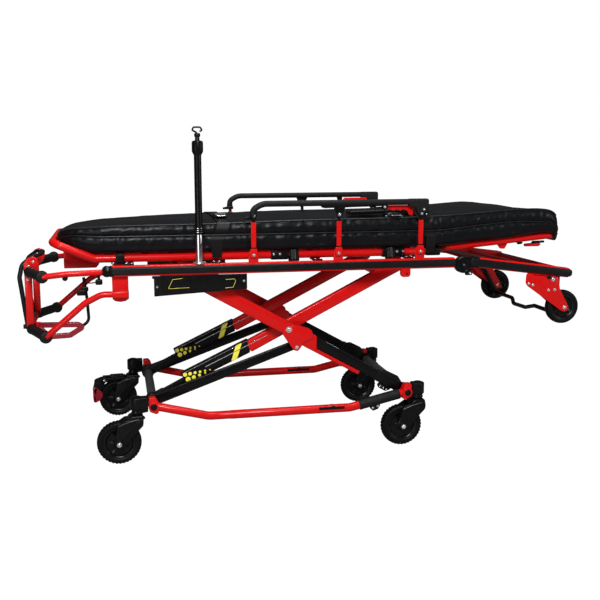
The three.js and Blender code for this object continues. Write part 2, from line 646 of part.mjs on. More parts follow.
function dripPole() {
  const x = -388;
  const y = -292;
  const at = (z) => [x, y, z];
  const pole = join(
    rod(at(679.3), at(686), 19), rod(at(684), at(782), 12), rod(at(778), at(806), 14.5),
    rod(at(804), at(1042), 11.5), rod(at(1040), at(1084), 19),
  );
  piece('drip_pole', cut(pole, rod(at(815), at(1090), 8.2)), paint.black);
  const hook = tube([
    at(1114), [x - 6, y, 1120], [x - 17, y, 1126], [x - 10, y, 1137], [x + 8, y, 1137], [x + 15, y, 1126],
  ], 3, 6);
  piece('drip_rod', join(rod(at(830), at(1116), 7.6), hook), paint.chrome);
}

const BACK_PITCH = 5.3;
const alongBack = ([s, up]) => [
  HINGE_X + s * Math.cos(rad(BACK_PITCH)) - up * Math.sin(rad(BACK_PITCH)),
  FRAME_Z + s * Math.sin(rad(BACK_PITCH)) + up * Math.cos(rad(BACK_PITCH)),
];
const BACK_LENGTH = 470;

function backrest() {
  const at = (s, y) => {
    const [x, z] = alongBack([s, 0]);
    return [x, y, z];
  };
  const y = 226;
  const loop = [at(34, 0), at(34, -y), at(BACK_LENGTH, -y), at(BACK_LENGTH, y), at(34, y), at(34, 0)];
  const frame = join(tube(loop.slice(0, 4), 11, 40), tube(loop.slice(2), 11, 40), ball(at(34, 0), 11));
  const crosses = [160, 300].map((s) => rod(at(s, -y), at(s, y), 9));
  const knuckles = SIDES.map(([, side]) => {
    const ys = onSide(side, [150, 178]);
    return join(disc({ x: HINGE_X, z: FRAME_Z }, 15.4, ys), slab(alongBack, [0, 38], [-9, 9], ys));
  });
  const bore = disc({ x: HINGE_X, z: FRAME_Z }, FRAME_R + 0.6, [-200, 200]);
  piece('backrest_frame', cut(join(frame, ...crosses, ...knuckles), bore), paint.red);

  const [tipX, tipZ] = alongBack([440, -30]);
  const lever = join(
    box([tipX - 62, tipX - 4], [-216, -200], [tipZ - 4, tipZ + 4]),
    disc({ x: tipX - 4, z: tipZ }, 8, [-216, -200], 16),
  );
  piece('backrest_handle', lever, paint.red);
}

const FOLD = 76;                         // how far the mattress faces lean back from the crease

function mattress() {
  const ys = [-MATTRESS_Y, MATTRESS_Y];
  const [low, high] = MATTRESS_Z;
  const crease = HINGE_X;
  const backLow = alongBack([22, 17]);
  const backHigh = alongBack([6 + FOLD, 118]);
  piece('mattress_main', plate([
    [-848, high - 6], [-846, 774], [-706, low + 1],
    [crease - 6, low], [crease - 6 - FOLD, high], [-830, high],
  ], ys), paint.vinyl);
  piece('mattress_back', plate([
    backLow, alongBack([450, 17]), alongBack([456, 40]),
    alongBack([456, 104]), alongBack([440, 118]), backHigh,
  ], ys), paint.vinyl);
  piece('mattress_fold', plate([
    [crease - 8, low + 4], [backLow[0] - 4, backLow[1] + 3], [backHigh[0] - 4, backHigh[1] - 4],
    [crease - 2 - FOLD, high - 2],
  ], ys), paint.vinyl);
}

base();
brakePedal();
legs();
for (const [label, side] of SIDES) {
  rail(side, label);
  sideRail(side, label);
}
litterFrame();
footFrame();
releaseBar();
releaseHandle();
headSection();
dripPole();
backrest();
mattress();

export default root;
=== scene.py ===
"""Stretcher trolley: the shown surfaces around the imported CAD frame, the studio and the camera.

Sizes are in millimetres in the CAD frame: +X to the head end, +Z up, near side at -Y.
"""

import math

import bmesh
import bpy
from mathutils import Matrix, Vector, noise


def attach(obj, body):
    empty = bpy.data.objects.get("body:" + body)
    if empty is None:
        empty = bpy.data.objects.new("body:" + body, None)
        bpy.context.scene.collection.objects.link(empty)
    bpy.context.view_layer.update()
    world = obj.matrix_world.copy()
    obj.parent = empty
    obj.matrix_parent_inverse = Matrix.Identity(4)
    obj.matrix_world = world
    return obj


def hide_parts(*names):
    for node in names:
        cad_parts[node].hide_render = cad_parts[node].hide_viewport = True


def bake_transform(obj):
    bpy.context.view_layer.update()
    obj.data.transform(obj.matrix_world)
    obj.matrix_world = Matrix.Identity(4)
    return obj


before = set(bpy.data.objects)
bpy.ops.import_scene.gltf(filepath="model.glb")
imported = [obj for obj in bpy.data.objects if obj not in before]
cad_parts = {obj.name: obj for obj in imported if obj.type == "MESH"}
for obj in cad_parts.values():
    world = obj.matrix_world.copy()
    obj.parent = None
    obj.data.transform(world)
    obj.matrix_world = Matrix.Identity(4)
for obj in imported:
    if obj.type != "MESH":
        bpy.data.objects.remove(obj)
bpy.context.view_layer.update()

# ---- driving sizes, as in the CAD part

MM = 0.001
UP = (0, 0, 1)
SIDES = (("near", -1), ("far", 1))

BASE_Z = 195
FOOT_X = -553
HEAD_X = 349
CROSS = (-78, 436)
SIDE_Y = 290
CASTER_R = 75
CASTER_TRAIL = 62
FOOT_SWIVEL_X = -609
HEAD_SWIVEL_X = 392
ARM_TOP = 226
TUBE_LOW_Z = 148.5
SLIDE_R = 14.5
OUTER_TUBE_R = 15.2
FOOT_BEND_X = -365
HEAD_BEND_X = 140
BRAKE_HINGE = (-723, 152)

LEG_A_TOP = 455
LEG_B_TOP = 431
LEG_A_FOOT = 532.6
LEG_B_FOOT = 490.3
LINK_PIN = (-50, 371)
LEG_A_Y = (184, 212)
LEG_A_TUBE_Y = (188, 208)
LEG_B_Y = (237, 263)
LEG_B_TUBE_Y = (240, 260)
LINK_Y = (216, 230)

RAIL_X = (-676, 516)
RAIL_Y = (280, 305)
RAIL_Z = (643, 679)
NAMEPLATE_Y = 302.5
FRAME_Z = 697
FRAME_Y = 240
FRAME_R = 13.6
HINGE_X = 470
HUB = (548, 653)
BETWEEN_ARMS_Y = (-281, 281)
LOAD_AXLE = (942, 487)
LOAD_Y = 292
POST_X = (-206, 90, 385)
POST_FOOT_Z = 705
POST_TOP_Z = 838
TOP_RAIL_Z = 876
BRIDGE_X = -955
GRIP_Y = 147
RELEASE_PIVOT = (BRIDGE_X, 455)
HANDLE_Y = -88


def line_map(origin, angle, flip=1):
    """Maps (distance along, height above) on a slanted line to x and z. The angle is in degrees above +X."""
    c, s = math.cos(math.radians(angle)), math.sin(math.radians(angle))
    return lambda along, above=0: (
        origin[0] + along * c - flip * above * s, origin[1] + along * s + flip * above * c)


def angle_of(run, rise):
    return math.degrees(math.atan2(rise, run))


foot_angle = angle_of(CROSS[0] - FOOT_X, CROSS[1] - BASE_Z)
head_angle = angle_of(HEAD_X - CROSS[0], CROSS[1] - BASE_Z)
down_a = line_map(CROSS, 180 + foot_angle, flip=-1)
down_b = line_map(CROSS, -head_angle)
down_sleeve = line_map(CROSS, 180 + foot_angle - 1.6, flip=-1)
along_head = line_map(HUB, -7.4)
along_back = line_map((HINGE_X, FRAME_Z), 5.3)
LITTER_PIVOT = down_a(-LEG_A_TOP)
TRACK_PIVOT = down_b(-LEG_B_TOP)
TRACK_X = (-520, -360)


def ys(side, inner, outer):
    """A range of Y on one side of the trolley, lowest first. With no side (0) the range stays as it is."""
    return (-outer, -inner) if side < 0 else (inner, outer)


def beside(y, flip, inner, outer):
    """A range of Y on one side of a caster's own plane, lowest first."""
    return sorted((y + flip * inner, y + flip * outer))


# ---- solids

def arc_corner(before, corner, after, radius, steps):
    """The points that round one corner of a path."""
    into, out = (corner - before).normalized(), (after - corner).normalized()
    turn = into.angle(out, 0)
    if radius <= 0 or turn < 0.02:
        return [corner]
    room = 0.48 * min((corner - before).length, (after - corner).length)
    reach = min(radius * math.tan(turn / 2), room)
    start, end = corner - into * reach, corner + out * reach
    return [start.lerp(corner, t).lerp(corner.lerp(end, t), t) for t in (i / steps for i in range(steps + 1))]


def bent(corners, bend, steps=8):
    """Straight runs through the corners given, each corner rounded to a bend radius."""
    points = [Vector(c) for c in corners]
    path = [points[0]]
    for before, corner, after in zip(points, points[1:], points[2:]):
        path += arc_corner(before, corner, after, bend, steps)
    return path + [points[-1]]


def rounded(outline, radius, steps=4):
    """A closed flat outline with its corners rounded."""
    points = [Vector(p) for p in outline]
    ring = []
    for i, corner in enumerate(points):
        ring += arc_corner(points[i - 1], corner, points[(i + 1) % len(points)], radius, steps)
    return ring


def inset(outline, amount):
    """A closed outline moved inwards, whichever way round it runs."""
    twice_area = sum(a.x * b.y - b.x * a.y for a, b in zip(outline, outline[1:] + outline[:1]))
    turn = math.copysign(amount, twice_area)
    moved = []
    for before, here, after in zip(outline[-1:] + outline[:-1], outline, outline[1:] + outline[:1]):
        along = (after - before).normalized()
        moved.append(here + Vector((-along.y, along.x)) * turn)
    return moved


def shell(rings):
    """A closed solid through rings that have the same number of points."""
    bm = bmesh.new()
    loops = [[bm.verts.new(Vector(p) * MM) for p in ring] for ring in rings]
    count = len(loops[0])
    for low, high in zip(loops, loops[1:]):
        for i in range(count):
            j = (i + 1) % count
            bm.faces.new((low[i], low[j], high[j], high[i]))
    bm.faces.new(reversed(loops[0]))
    bm.faces.new(loops[-1])
    bmesh.ops.recalc_face_normals(bm, faces=bm.faces)
    return bm


def fillet_levels(low, high, size, steps=3):
    """(position, inset) pairs that round both ends of an extrusion."""
    size = min(size, 0.45 * (high - low))
    turns = [math.pi / 2 * i / steps for i in range(steps + 1)]
    rise = [(size * (1 - math.cos(t)), size * (1 - math.sin(t))) for t in turns]
    return [(low + d, i) for d, i in rise] + [(high - d, i) for d, i in reversed(rise)]


PLACE = {
    "x": lambda a, b, t: (t, a, b),
    "y": lambda a, b, t: (a, t, b),
    "z": lambda a, b, t: (a, b, t),
}


def prism(outline, span, bevel=1.2, corner=3.0, axis="y"):
    """An outline extruded along an axis, with rounded corners and rounded end edges."""
    flat = rounded(outline, corner)
    place = PLACE[axis]
    return shell([
        [place(p.x, p.y, level) for p in inset(flat, amount)]
        for level, amount in fillet_levels(*span, bevel)])


def block(xs, y_range, zs, bevel=1.5, corner=3.0, axis="x"):
    """A box with rounded edges, extruded along one axis."""
    spans = {"x": (y_range, zs, xs), "y": (xs, zs, y_range), "z": (xs, y_range, zs)}
    (a0, a1), (b0, b1), span = spans[axis]
    return prism([(a0, b0), (a1, b0), (a1, b1), (a0, b1)], span, bevel, corner, axis)


def strip(mapping, span, heights, y_range, bevel=2.0, corner=3.0):
    """A straight bar along a leg, from its span along the leg and its heights about the leg's axis."""
    (s0, s1), (low, high) = span, heights
    outline = [mapping(s0, low), mapping(s1, low), mapping(s1, high), mapping(s0, high)]
    return prism(outline, y_range, bevel, corner)


def circle(radius, sides=24):
    """The section of a round tube."""
    turns = [2 * math.pi * i / sides for i in range(sides)]
    return [(radius * math.cos(t), radius * math.sin(t)) for t in turns]


def sweep(path, section, fillet=1.2):
    """A section of (across, up) points carried along a path, with rounded ends."""
    points = [Vector(p) for p in path]
    start, end = (points[1] - points[0]).normalized(), (points[-1] - points[-2]).normalized()
    size = max(max(abs(u), abs(v)) for u, v in section)
    fillet = min(fillet, 0.5 * size)
    stations = [(points[0], 1 - fillet / size), (points[0] + start * fillet * 0.3, 1 - 0.3 * fillet / size)]
    stations += [(points[0] + start * fillet, 1)] + [(p, 1) for p in points[1:-1]]
    stations += [(points[-1] - end * fillet, 1), (points[-1] - end * fillet * 0.3, 1 - 0.3 * fillet / size)]
    stations += [(points[-1], 1 - fillet / size)]
    normal = Vector(UP)
    if abs(normal.dot(start)) > 0.95:
        normal = start.orthogonal()
    rings = []
    for i, (point, scale) in enumerate(stations):
        before, after = stations[max(i - 1, 0)][0], stations[min(i + 1, len(stations) - 1)][0]
        tangent = (after - before).normalized()
        normal = (normal - tangent * normal.dot(tangent)).normalized()
        across = tangent.cross(normal)
        rings.append([point + (across * u + normal * v) * scale for u, v in section])
    return shell(rings)


def tube(corners, radius, bend=40, sides=24, fillet=1.2):
    """A round tube bent at the corners given."""
    return sweep(bent(corners, bend), circle(radius, sides), fillet=fillet)


def mirrored(half):
    """A closed wheel profile from the half on its +Y side."""
    return half + [(r, -h) for r, h in reversed(half)]


def moved(outline, x, z=0):
    """An outline given about one point of the XZ plane, in the part's own place."""
    return [(x + dx, z + dz) for dx, dz in outline]


def revolve(profile, centre, axis=(0, 1, 0), sides=40, warp=None):
    """A profile of (radius, height) turned about an axis. It starts and ends on the axis, or closes on itself."""
    centre, axis = Vector(centre), Vector(axis).normalized()
    u = axis.orthogonal().normalized()
    v = axis.cross(u)
    bm = bmesh.new()
    rings = []
    for radius, height in profile:
        if radius < 1e-6:
            rings.append([bm.verts.new((centre + axis * height) * MM)] * sides)
            continue
        ring = []
        for i in range(sides):
            turn = 2 * math.pi * i / sides
            r, h = warp(radius, height, turn) if warp else (radius, height)
            spoke = u * math.cos(turn) + v * math.sin(turn)
            ring.append(bm.verts.new((centre + axis * h + spoke * r) * MM))
        rings.append(ring)
    pairs = list(zip(rings, rings[1:]))
    if profile[0][0] > 1e-6:
        pairs.append((rings[-1], rings[0]))
    for low, high in pairs:
        for i in range(sides):
            j = (i + 1) % sides
            corners = list(dict.fromkeys((low[i], low[j], high[j], high[i])))
            if len(corners) > 2:
                bm.faces.new(corners)
    bmesh.ops.recalc_face_normals(bm, faces=bm.faces)
    return bm


def fluted(beyond, depth, count):
    """The warp that cuts grip flutes into a knob where its radius is over a limit."""
    return lambda r, h, turn: (r - (depth if r > beyond else 0) * (1 + math.cos(count * turn)), h)


def disc(centre, radius, span, fillet=1.0, sides=40):
    """A disc along Y about a point of the XZ plane."""
    levels = fillet_levels(*span, fillet)
    profile = [(0, span[0])] + [(radius - amount, level) for level, amount in levels] + [(0, span[1])]
    return revolve(profile, (centre[0], 0, centre[1]), sides=sides)


SHARP = math.radians(38)


class Piece:
    """One shown piece: solids gathered into one mesh, each with its own material."""

    def __init__(self, name, body, slot, *nodes, side=0):
        self.name, self.body, self.slot, self.nodes, self.side = name, body, slot, nodes, side
        self.bm = bmesh.new()
        self.materials = []

    def both_sides(self):
        """Puts the piece on the near side, then on the far side, then on neither."""
        for self.side in (-1, 1):
            yield self.side
        self.side = 0

    def add(self, material, *solids):
        if material not in self.materials:
            self.materials.append(material)
        for solid in solids:
            for face in solid.faces:
                face.material_index = self.materials.index(material)
            mesh = bpy.data.meshes.new("scratch")
            solid.to_mesh(mesh)
            solid.free()
            self.bm.from_mesh(mesh)
            bpy.data.meshes.remove(mesh)

    # Each of these adds one solid. Its Y range is measured outwards from the middle plane, on the piece's side. The
    # two numbers that end a plate, a bar or a box are the bevel of its end edges and the radius of its corners.

    def plate(self, material, outline, y_range, *edges, **named):
        self.add(material, prism(outline, ys(self.side, *y_range), *edges, **named))

    def bar(self, material, mapping, span, heights, y_range, *edges, **named):
        self.add(material, strip(mapping, span, heights, ys(self.side, *y_range), *edges, **named))

    def pin(self, material, centre, radius, y_range, **named):
        self.add(material, disc(centre, radius, ys(self.side, *y_range), **named))

    def box(self, material, xs, y_range, zs, *edges, **named):
        self.add(material, block(xs, ys(self.side, *y_range), zs, *edges, **named))

    def side_bolt(self, at, radius):
        self.bolt((at[0], self.side * at[1], at[2]), (0, self.side, 0), radius)

    def bolt(self, at, outward, radius):
        """A button-head bolt on its washer, with a socket in its head."""
        profile = [
            (0, 0.30), (0.36, 0.30), (0.40, 0.60), (0.62, 0.58), (0.84, 0.40),
            (0.90, 0.20), (1.22, 0.18), (1.28, 0.10), (1.28, -0.3), (0, -0.3)]
        self.add(STEEL_AND_PAINTED_HIGHLIGHT, revolve([(r * radius, h * radius) for r, h in profile], at, outward, 20))

    def done(self):
        for edge in self.bm.edges:
            edge.smooth = len(edge.link_faces) == 2 and edge.calc_face_angle(0) < SHARP
        for face in self.bm.faces:
            face.smooth = True
        mesh = bpy.data.meshes.new(self.name)
        self.bm.to_mesh(mesh)
        self.bm.free()
        for material in self.materials:
            mesh.materials.append(material)
        shown = bpy.data.objects.new(self.name, mesh)
        bpy.context.scene.collection.objects.link(shown)
        if self.body:
            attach(shown, self.body)
        if self.nodes:
            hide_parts(*self.nodes)
        return shown


def stand_in(node, body, slot, side=0):
    """The shown piece that takes one CAD node's place."""
    return Piece(f"{node}_shown", body, slot, node, side=side)


# ---- materials

def preset(node, **values):
    """Sets a shader node's input sockets."""
    for socket, value in values.items():
        node.inputs[socket.replace("_", " ").title().replace("Ior", "IOR")].default_value = value
    return node


def material(name, color, roughness, metallic=0.0, mottle=0.12, grain=900, depth=0.03, cells=False, **sockets):
    """A procedural finish: colour and roughness that drift a little, and a fine relief in millimetres."""
    made = bpy.data.materials.new(name)
    made.use_nodes = True
    nodes, links = made.node_tree.nodes, made.node_tree.links
    shader = nodes["Principled BSDF"]
    place = nodes.new("ShaderNodeTexCoord")

    drift = preset(nodes.new("ShaderNodeTexNoise"), scale=14, detail=6)
    links.new(place.outputs["Object"], drift.inputs["Vector"])
    ramp = nodes.new("ShaderNodeValToRGB")
    for stop, position, share in zip(ramp.color_ramp.elements, (0.3, 0.7), (1 - mottle, 1 + mottle)):
        stop.position = position
        stop.color = [min(c * share, 1) for c in color] + [1]
    links.new(drift.outputs["Fac"], ramp.inputs["Fac"])
    links.new(ramp.outputs["Color"], shader.inputs["Base Color"])

    smear = preset(nodes.new("ShaderNodeTexNoise"), scale=55, detail=4)
    links.new(place.outputs["Object"], smear.inputs["Vector"])
    spread = preset(nodes.new("ShaderNodeMapRange"), from_min=0.3, from_max=0.7,
                    to_min=max(roughness - 0.07, 0.03), to_max=min(roughness + 0.07, 1))
    links.new(smear.outputs["Fac"], spread.inputs["Value"])
    links.new(spread.outputs["Result"], shader.inputs["Roughness"])

    relief = nodes.new("ShaderNodeTexVoronoi" if cells else "ShaderNodeTexNoise")
    preset(relief, scale=grain)
    links.new(place.outputs["Object"], relief.inputs["Vector"])
    bump = preset(nodes.new("ShaderNodeBump"), strength=0.6, distance=depth * MM)
    links.new(relief.outputs["Distance" if cells else "Fac"], bump.inputs["Height"])
    links.new(bump.outputs["Normal"], shader.inputs["Normal"])

    preset(shader, metallic=metallic, **sockets)
    return made


RED = material("red_powder_coat", (0.60, 0.005, 0.005), 0.34, mottle=0.05, grain=700, depth=0.03,
               specular_ior_level=0.12, coat_weight=0.2, coat_roughness=0.1)
MAROON = material("dark_red_plastic", (0.27, 0.005, 0.015), 0.34, mottle=0.08, grain=700, depth=0.03,
                  specular_ior_level=0.4, coat_weight=0.3)
BLACK = material("black_powder_coat", (0.0035, 0.0035, 0.004), 0.28, grain=1500, depth=0.005, specular_ior_level=0.17)
PLASTIC = material("black_moulded_plastic", (0.003, 0.003, 0.0034), 0.33, grain=1500, depth=0.05,
                   specular_ior_level=0.17)
RUBBER = material("black_grip_foam", (0.006, 0.006, 0.0065), 0.6, grain=750, depth=0.16, cells=True,
                  specular_ior_level=0.2)
STRIP = material("black_bumper_rubber", (0.0055, 0.006, 0.0065), 0.36, grain=500, depth=0.05,
                 specular_ior_level=0.2)
TYRE = material("tyre_rubber", (0.003, 0.003, 0.0034), 0.45, grain=600, depth=0.08, specular_ior_level=0.13)
HUB_BLACK = material("wheel_centre_plastic", (0.003, 0.003, 0.0034), 0.28, grain=900, depth=0.03,
                     specular_ior_level=0.22)
# Grey steel, also used for the painted highlight lines along the caster fork cheeks.
GREY = material("grey_steel", (0.085, 0.09, 0.095), 0.38, metallic=0.5, grain=800, depth=0.02)
CHROME = material("chrome", (0.72, 0.73, 0.74), 0.16, metallic=1.0, mottle=0.05, grain=300, depth=0.01)
# Bolt steel, also used for the thin bars painted as highlight lines along leg A.
STEEL_AND_PAINTED_HIGHLIGHT = material("bolt_steel", (0.70, 0.71, 0.72), 0.26, metallic=0.9, mottle=0.08, grain=500, depth=0.02)
YELLOW = material("yellow_marking", (0.93, 0.84, 0.08), 0.4, mottle=0.08, grain=400, depth=0.02)
VINYL = material("black_vinyl", (0.0030, 0.0035, 0.0046), 0.38, mottle=0.2, grain=620, depth=0.09, cells=True,
                 specular_ior_level=0.17)
PIPING = material("black_piping", (0.010, 0.010, 0.011), 0.4, grain=900, depth=0.05, specular_ior_level=0.4)
WEBBING = material("black_webbing", (0.004, 0.0042, 0.005), 0.45, grain=420, depth=0.15, cells=True,
                   specular_ior_level=0.2)
BUCKLE = material("buckle_plastic", (0.012, 0.012, 0.012), 0.25, grain=700, depth=0.02, coat_weight=0.3)


def backdrop():
    """The studio sweep: plain white where the camera sees it, and dim in what it reflects."""
    made = bpy.data.materials.new("studio_floor")
    made.use_nodes = True
    nodes, links = made.node_tree.nodes, made.node_tree.links
    nodes.remove(nodes["Principled BSDF"])
    rays, dim = nodes.new("ShaderNodeLightPath"), nodes.new("ShaderNodeBsdfDiffuse")
    white, either = nodes.new("ShaderNodeEmission"), nodes.new("ShaderNodeMixShader")
    preset(dim, color=(0.3, 0.3, 0.3, 1))
    preset(white, color=(1, 1, 1, 1), strength=1.05)
    links.new(rays.outputs["Is Camera Ray"], either.inputs[0])
    links.new(dim.outputs["BSDF"], either.inputs[1])
    links.new(white.outputs["Emission"], either.inputs[2])
    links.new(either.outputs["Shader"], nodes["Material Output"].inputs["Surface"])
    return made


# ---- camera, light, floor

LENS_MM = 52.73
CAMERA_AT = (-0.659, -3.226, 1.035)
CAMERA_TILT = 9.31
CAMERA_TURN = -11.84
LAMPS_AIM = (0, 0, 0.55)
ROOM_LIGHT = 0.07
# The name, place and size in metres, and power in watts of each lamp.
LAMPS = (
    ("key", (-0.9, -3.4, 2.9), 1.0, 140),
    ("fill", (3.2, -2.6, 1.3), 1.4, 26),
    ("top", (0.1, -0.3, 3.3), 1.6, 78),
    ("low", (-2.2, -2.9, 0.5), 1.2, 16))


def studio():
    scene = bpy.context.scene
    scene.view_settings.view_transform = "Standard"
    lens = bpy.data.cameras.new("camera")
    lens.lens, lens.sensor_width = LENS_MM, 36
    camera = bpy.data.objects.new("camera", lens)
    camera.location = CAMERA_AT
    camera.rotation_euler = (math.radians(90 - CAMERA_TILT), 0, math.radians(CAMERA_TURN))
    scene.collection.objects.link(camera)
    scene.camera = camera

    world = bpy.data.worlds.new("studio")
    world.use_nodes = True
    nodes, links = world.node_tree.nodes, world.node_tree.links
    rays = nodes.new("ShaderNodeLightPath")
    level = preset(nodes.new("ShaderNodeMapRange"), to_min=ROOM_LIGHT, to_max=1)
    preset(nodes["Background"], color=(1, 1, 1, 1))
    links.new(rays.outputs["Is Camera Ray"], level.inputs["Value"])
    links.new(level.outputs["Result"], nodes["Background"].inputs["Strength"])
    scene.world = world

    for name, place, size, power in LAMPS:
        lamp = bpy.data.lights.new(name, "AREA")
        lamp.shape, lamp.size, lamp.energy = "DISK", size, power
        light = bpy.data.objects.new(name, lamp)
        light.location = place
        light.rotation_euler = (Vector(LAMPS_AIM) - Vector(place)).to_track_quat("-Z", "Y").to_euler()
        scene.collection.objects.link(light)

    bm = bmesh.new()
    corners = [bm.verts.new((x, y, 0)) for x, y in ((-30, -30), (30, -30), (30, 30), (-30, 30))]
    bm.faces.new(corners)
    mesh = bpy.data.meshes.new("floor")
    bm.to_mesh(mesh)
    bm.free()
    mesh.materials.append(backdrop())
    floor = bpy.data.objects.new("floor", mesh)
    scene.collection.objects.link(floor)


# ---- base and casters

def corner_casting(piece, x, outward):
    """The faceted red casting that joins a base tube, a cross tube and a caster arm."""
    outline = [(-16, 31), (5, 32), (13, 22), (17, 10), (17, -22), (9, -27), (-12, -18), (-16, -8)]
    shape = moved([(outward * dx, dz) for dx, dz in outline], x, BASE_Z)
    piece.plate(RED, shape, (SIDE_Y - 17, SIDE_Y + 16), 3.5, 5)
    piece.pin(RED, (x, BASE_Z), 17.5, (SIDE_Y + 10, SIDE_Y + 19), fillet=2)
    piece.pin(PLASTIC, (x, BASE_Z), 12, (SIDE_Y + 16, SIDE_Y + 21), fillet=2.2)
    piece.pin(PLASTIC, (x, BASE_Z), 6, (SIDE_Y + 19, SIDE_Y + 22), fillet=1)


def base():
    half = SIDE_Y - 17.3
    for end, x in (("foot", FOOT_X), ("head", HEAD_X)):
        cross = stand_in(f"{end}_cross_tube", f"base_{end}", "grey_steel")
        cross.pin(GREY, (x, BASE_Z), 16, (-half, half), fillet=1)
        for _ in cross.both_sides():
            for collar in ((226, 236), (212.5, 215.5)) if end == "foot" else ((262, 271), (230, 238)):
                cross.pin(PLASTIC, (x, BASE_Z), 18.5, collar, fillet=1.5)
        cross.done()

    for label, side in SIDES:
        y = side * SIDE_Y
        foot = stand_in(f"foot_side_{label}", "base_foot", "red_paint", side)
        corner_casting(foot, FOOT_X, 1)
        foot.add(RED, tube([(FOOT_X, y, BASE_Z), (FOOT_BEND_X, y, TUBE_LOW_Z), (-331, y, TUBE_LOW_Z)], SLIDE_R, 90))
        foot.add(RED, tube([(-334, y, TUBE_LOW_Z), (-20, y, TUBE_LOW_Z)], SLIDE_R))
        foot.done()

        head = stand_in(f"head_side_{label}", "base_head", "red_paint", side)
        corner_casting(head, HEAD_X, -1)
        outer_tube = [(-290, y, TUBE_LOW_Z), (HEAD_BEND_X, y, TUBE_LOW_Z), (HEAD_X, y, BASE_Z)]
        head.add(RED, tube(outer_tube, OUTER_TUBE_R, 90))
        slope = line_map((HEAD_BEND_X, TUBE_LOW_Z), angle_of(HEAD_X - HEAD_BEND_X, BASE_Z - TUBE_LOW_Z))
        start = 33 if side < 0 else 112  # the grip sleeve is longer on the near side
        run = [(slope(s)[0], y, slope(s)[1]) for s in (start, start + 4, 180, 187)]
        head.add(RUBBER, sweep(run, circle(18.5), fillet=2.5))
        head.add(PLASTIC, sweep([run[0], run[1]], circle(19.2), fillet=1.2))
        slot = [(22, TUBE_LOW_Z), (116, TUBE_LOW_Z), (116, 158), (22, 158)]
        for layer in ((SIDE_Y + 12, SIDE_Y + 15.4), (SIDE_Y - 15.4, SIDE_Y - 12)):
            head.plate(BLACK, slot, layer, 0.5, 4)
            head.plate(PLASTIC, [(66, 156), (82, 156), (80, 161), (68, 161)], layer, corner=1)
        if side < 0:
            lug = [(206, 170), (250, 178), (250, 150), (243, 138), (224, 131), (214, 140)]
            head.plate(PLASTIC, lug, (SIDE_Y - 4, SIDE_Y + 5), 1.5, 5)
            for x, z in ((223, 143), (241, 149)):
                head.side_bolt((x, SIDE_Y + 5, z), 3.6)
        head.done()

        caster_arm(f"foot_arm_{label}", "base_foot", FOOT_X, FOOT_SWIVEL_X, y)
        caster_arm(f"head_arm_{label}", "base_head", HEAD_X, HEAD_SWIVEL_X, y)
        for end, x in (("foot", FOOT_SWIVEL_X), ("head", HEAD_SWIVEL_X)):
            fork(f"{end}_caster_{label}", x, y, end == "foot" and label == "far")
            caster_wheel(f"{end}_caster_{label}_wheel", f"{end}_wheel_{label}", x, y)


def caster_arm(node, body, pivot_x, swivel_x, y):
    """The black moulded arm between a base corner and its caster."""
    outward = math.copysign(1, swivel_x - pivot_x)
    start = pivot_x + outward * 18.3
    arm = stand_in(node, body, "black_plastic")
    turns = [math.radians(a) for a in range(-90, 91, 15)]
    nose = [(swivel_x + outward * 23 * math.cos(t), y + 23 * math.sin(t)) for t in turns]
    outline = [(start, y + 17), (start, y - 17), (swivel_x - outward * 14, y - 19)] + nose
    outline.append((swivel_x - outward * 14, y + 19))
    arm.add(PLASTIC, prism(outline, (186, ARM_TOP + 3), 5, 0, axis="z"))
    cup = [(0, 192), (17, 192), (17, 184), (19, 179), (19, 174), (17, 171.8), (0, 171.8)]
    arm.add(PLASTIC, revolve(cup, (swivel_x, y, 0), UP))
    web = [(start, 178), (start, 200), (swivel_x, 200), (swivel_x, 176), (swivel_x - outward * 16, 174)]
    arm.plate(PLASTIC, web, (y - 13, y + 13), 3, 4)
    lid = [(0, ARM_TOP + 6), (13, ARM_TOP + 5.5), (15.5, ARM_TOP + 4), (16, ARM_TOP), (0, ARM_TOP)]
    arm.add(PLASTIC, revolve(lid, (swivel_x, y, 0), UP))
    arm.done()


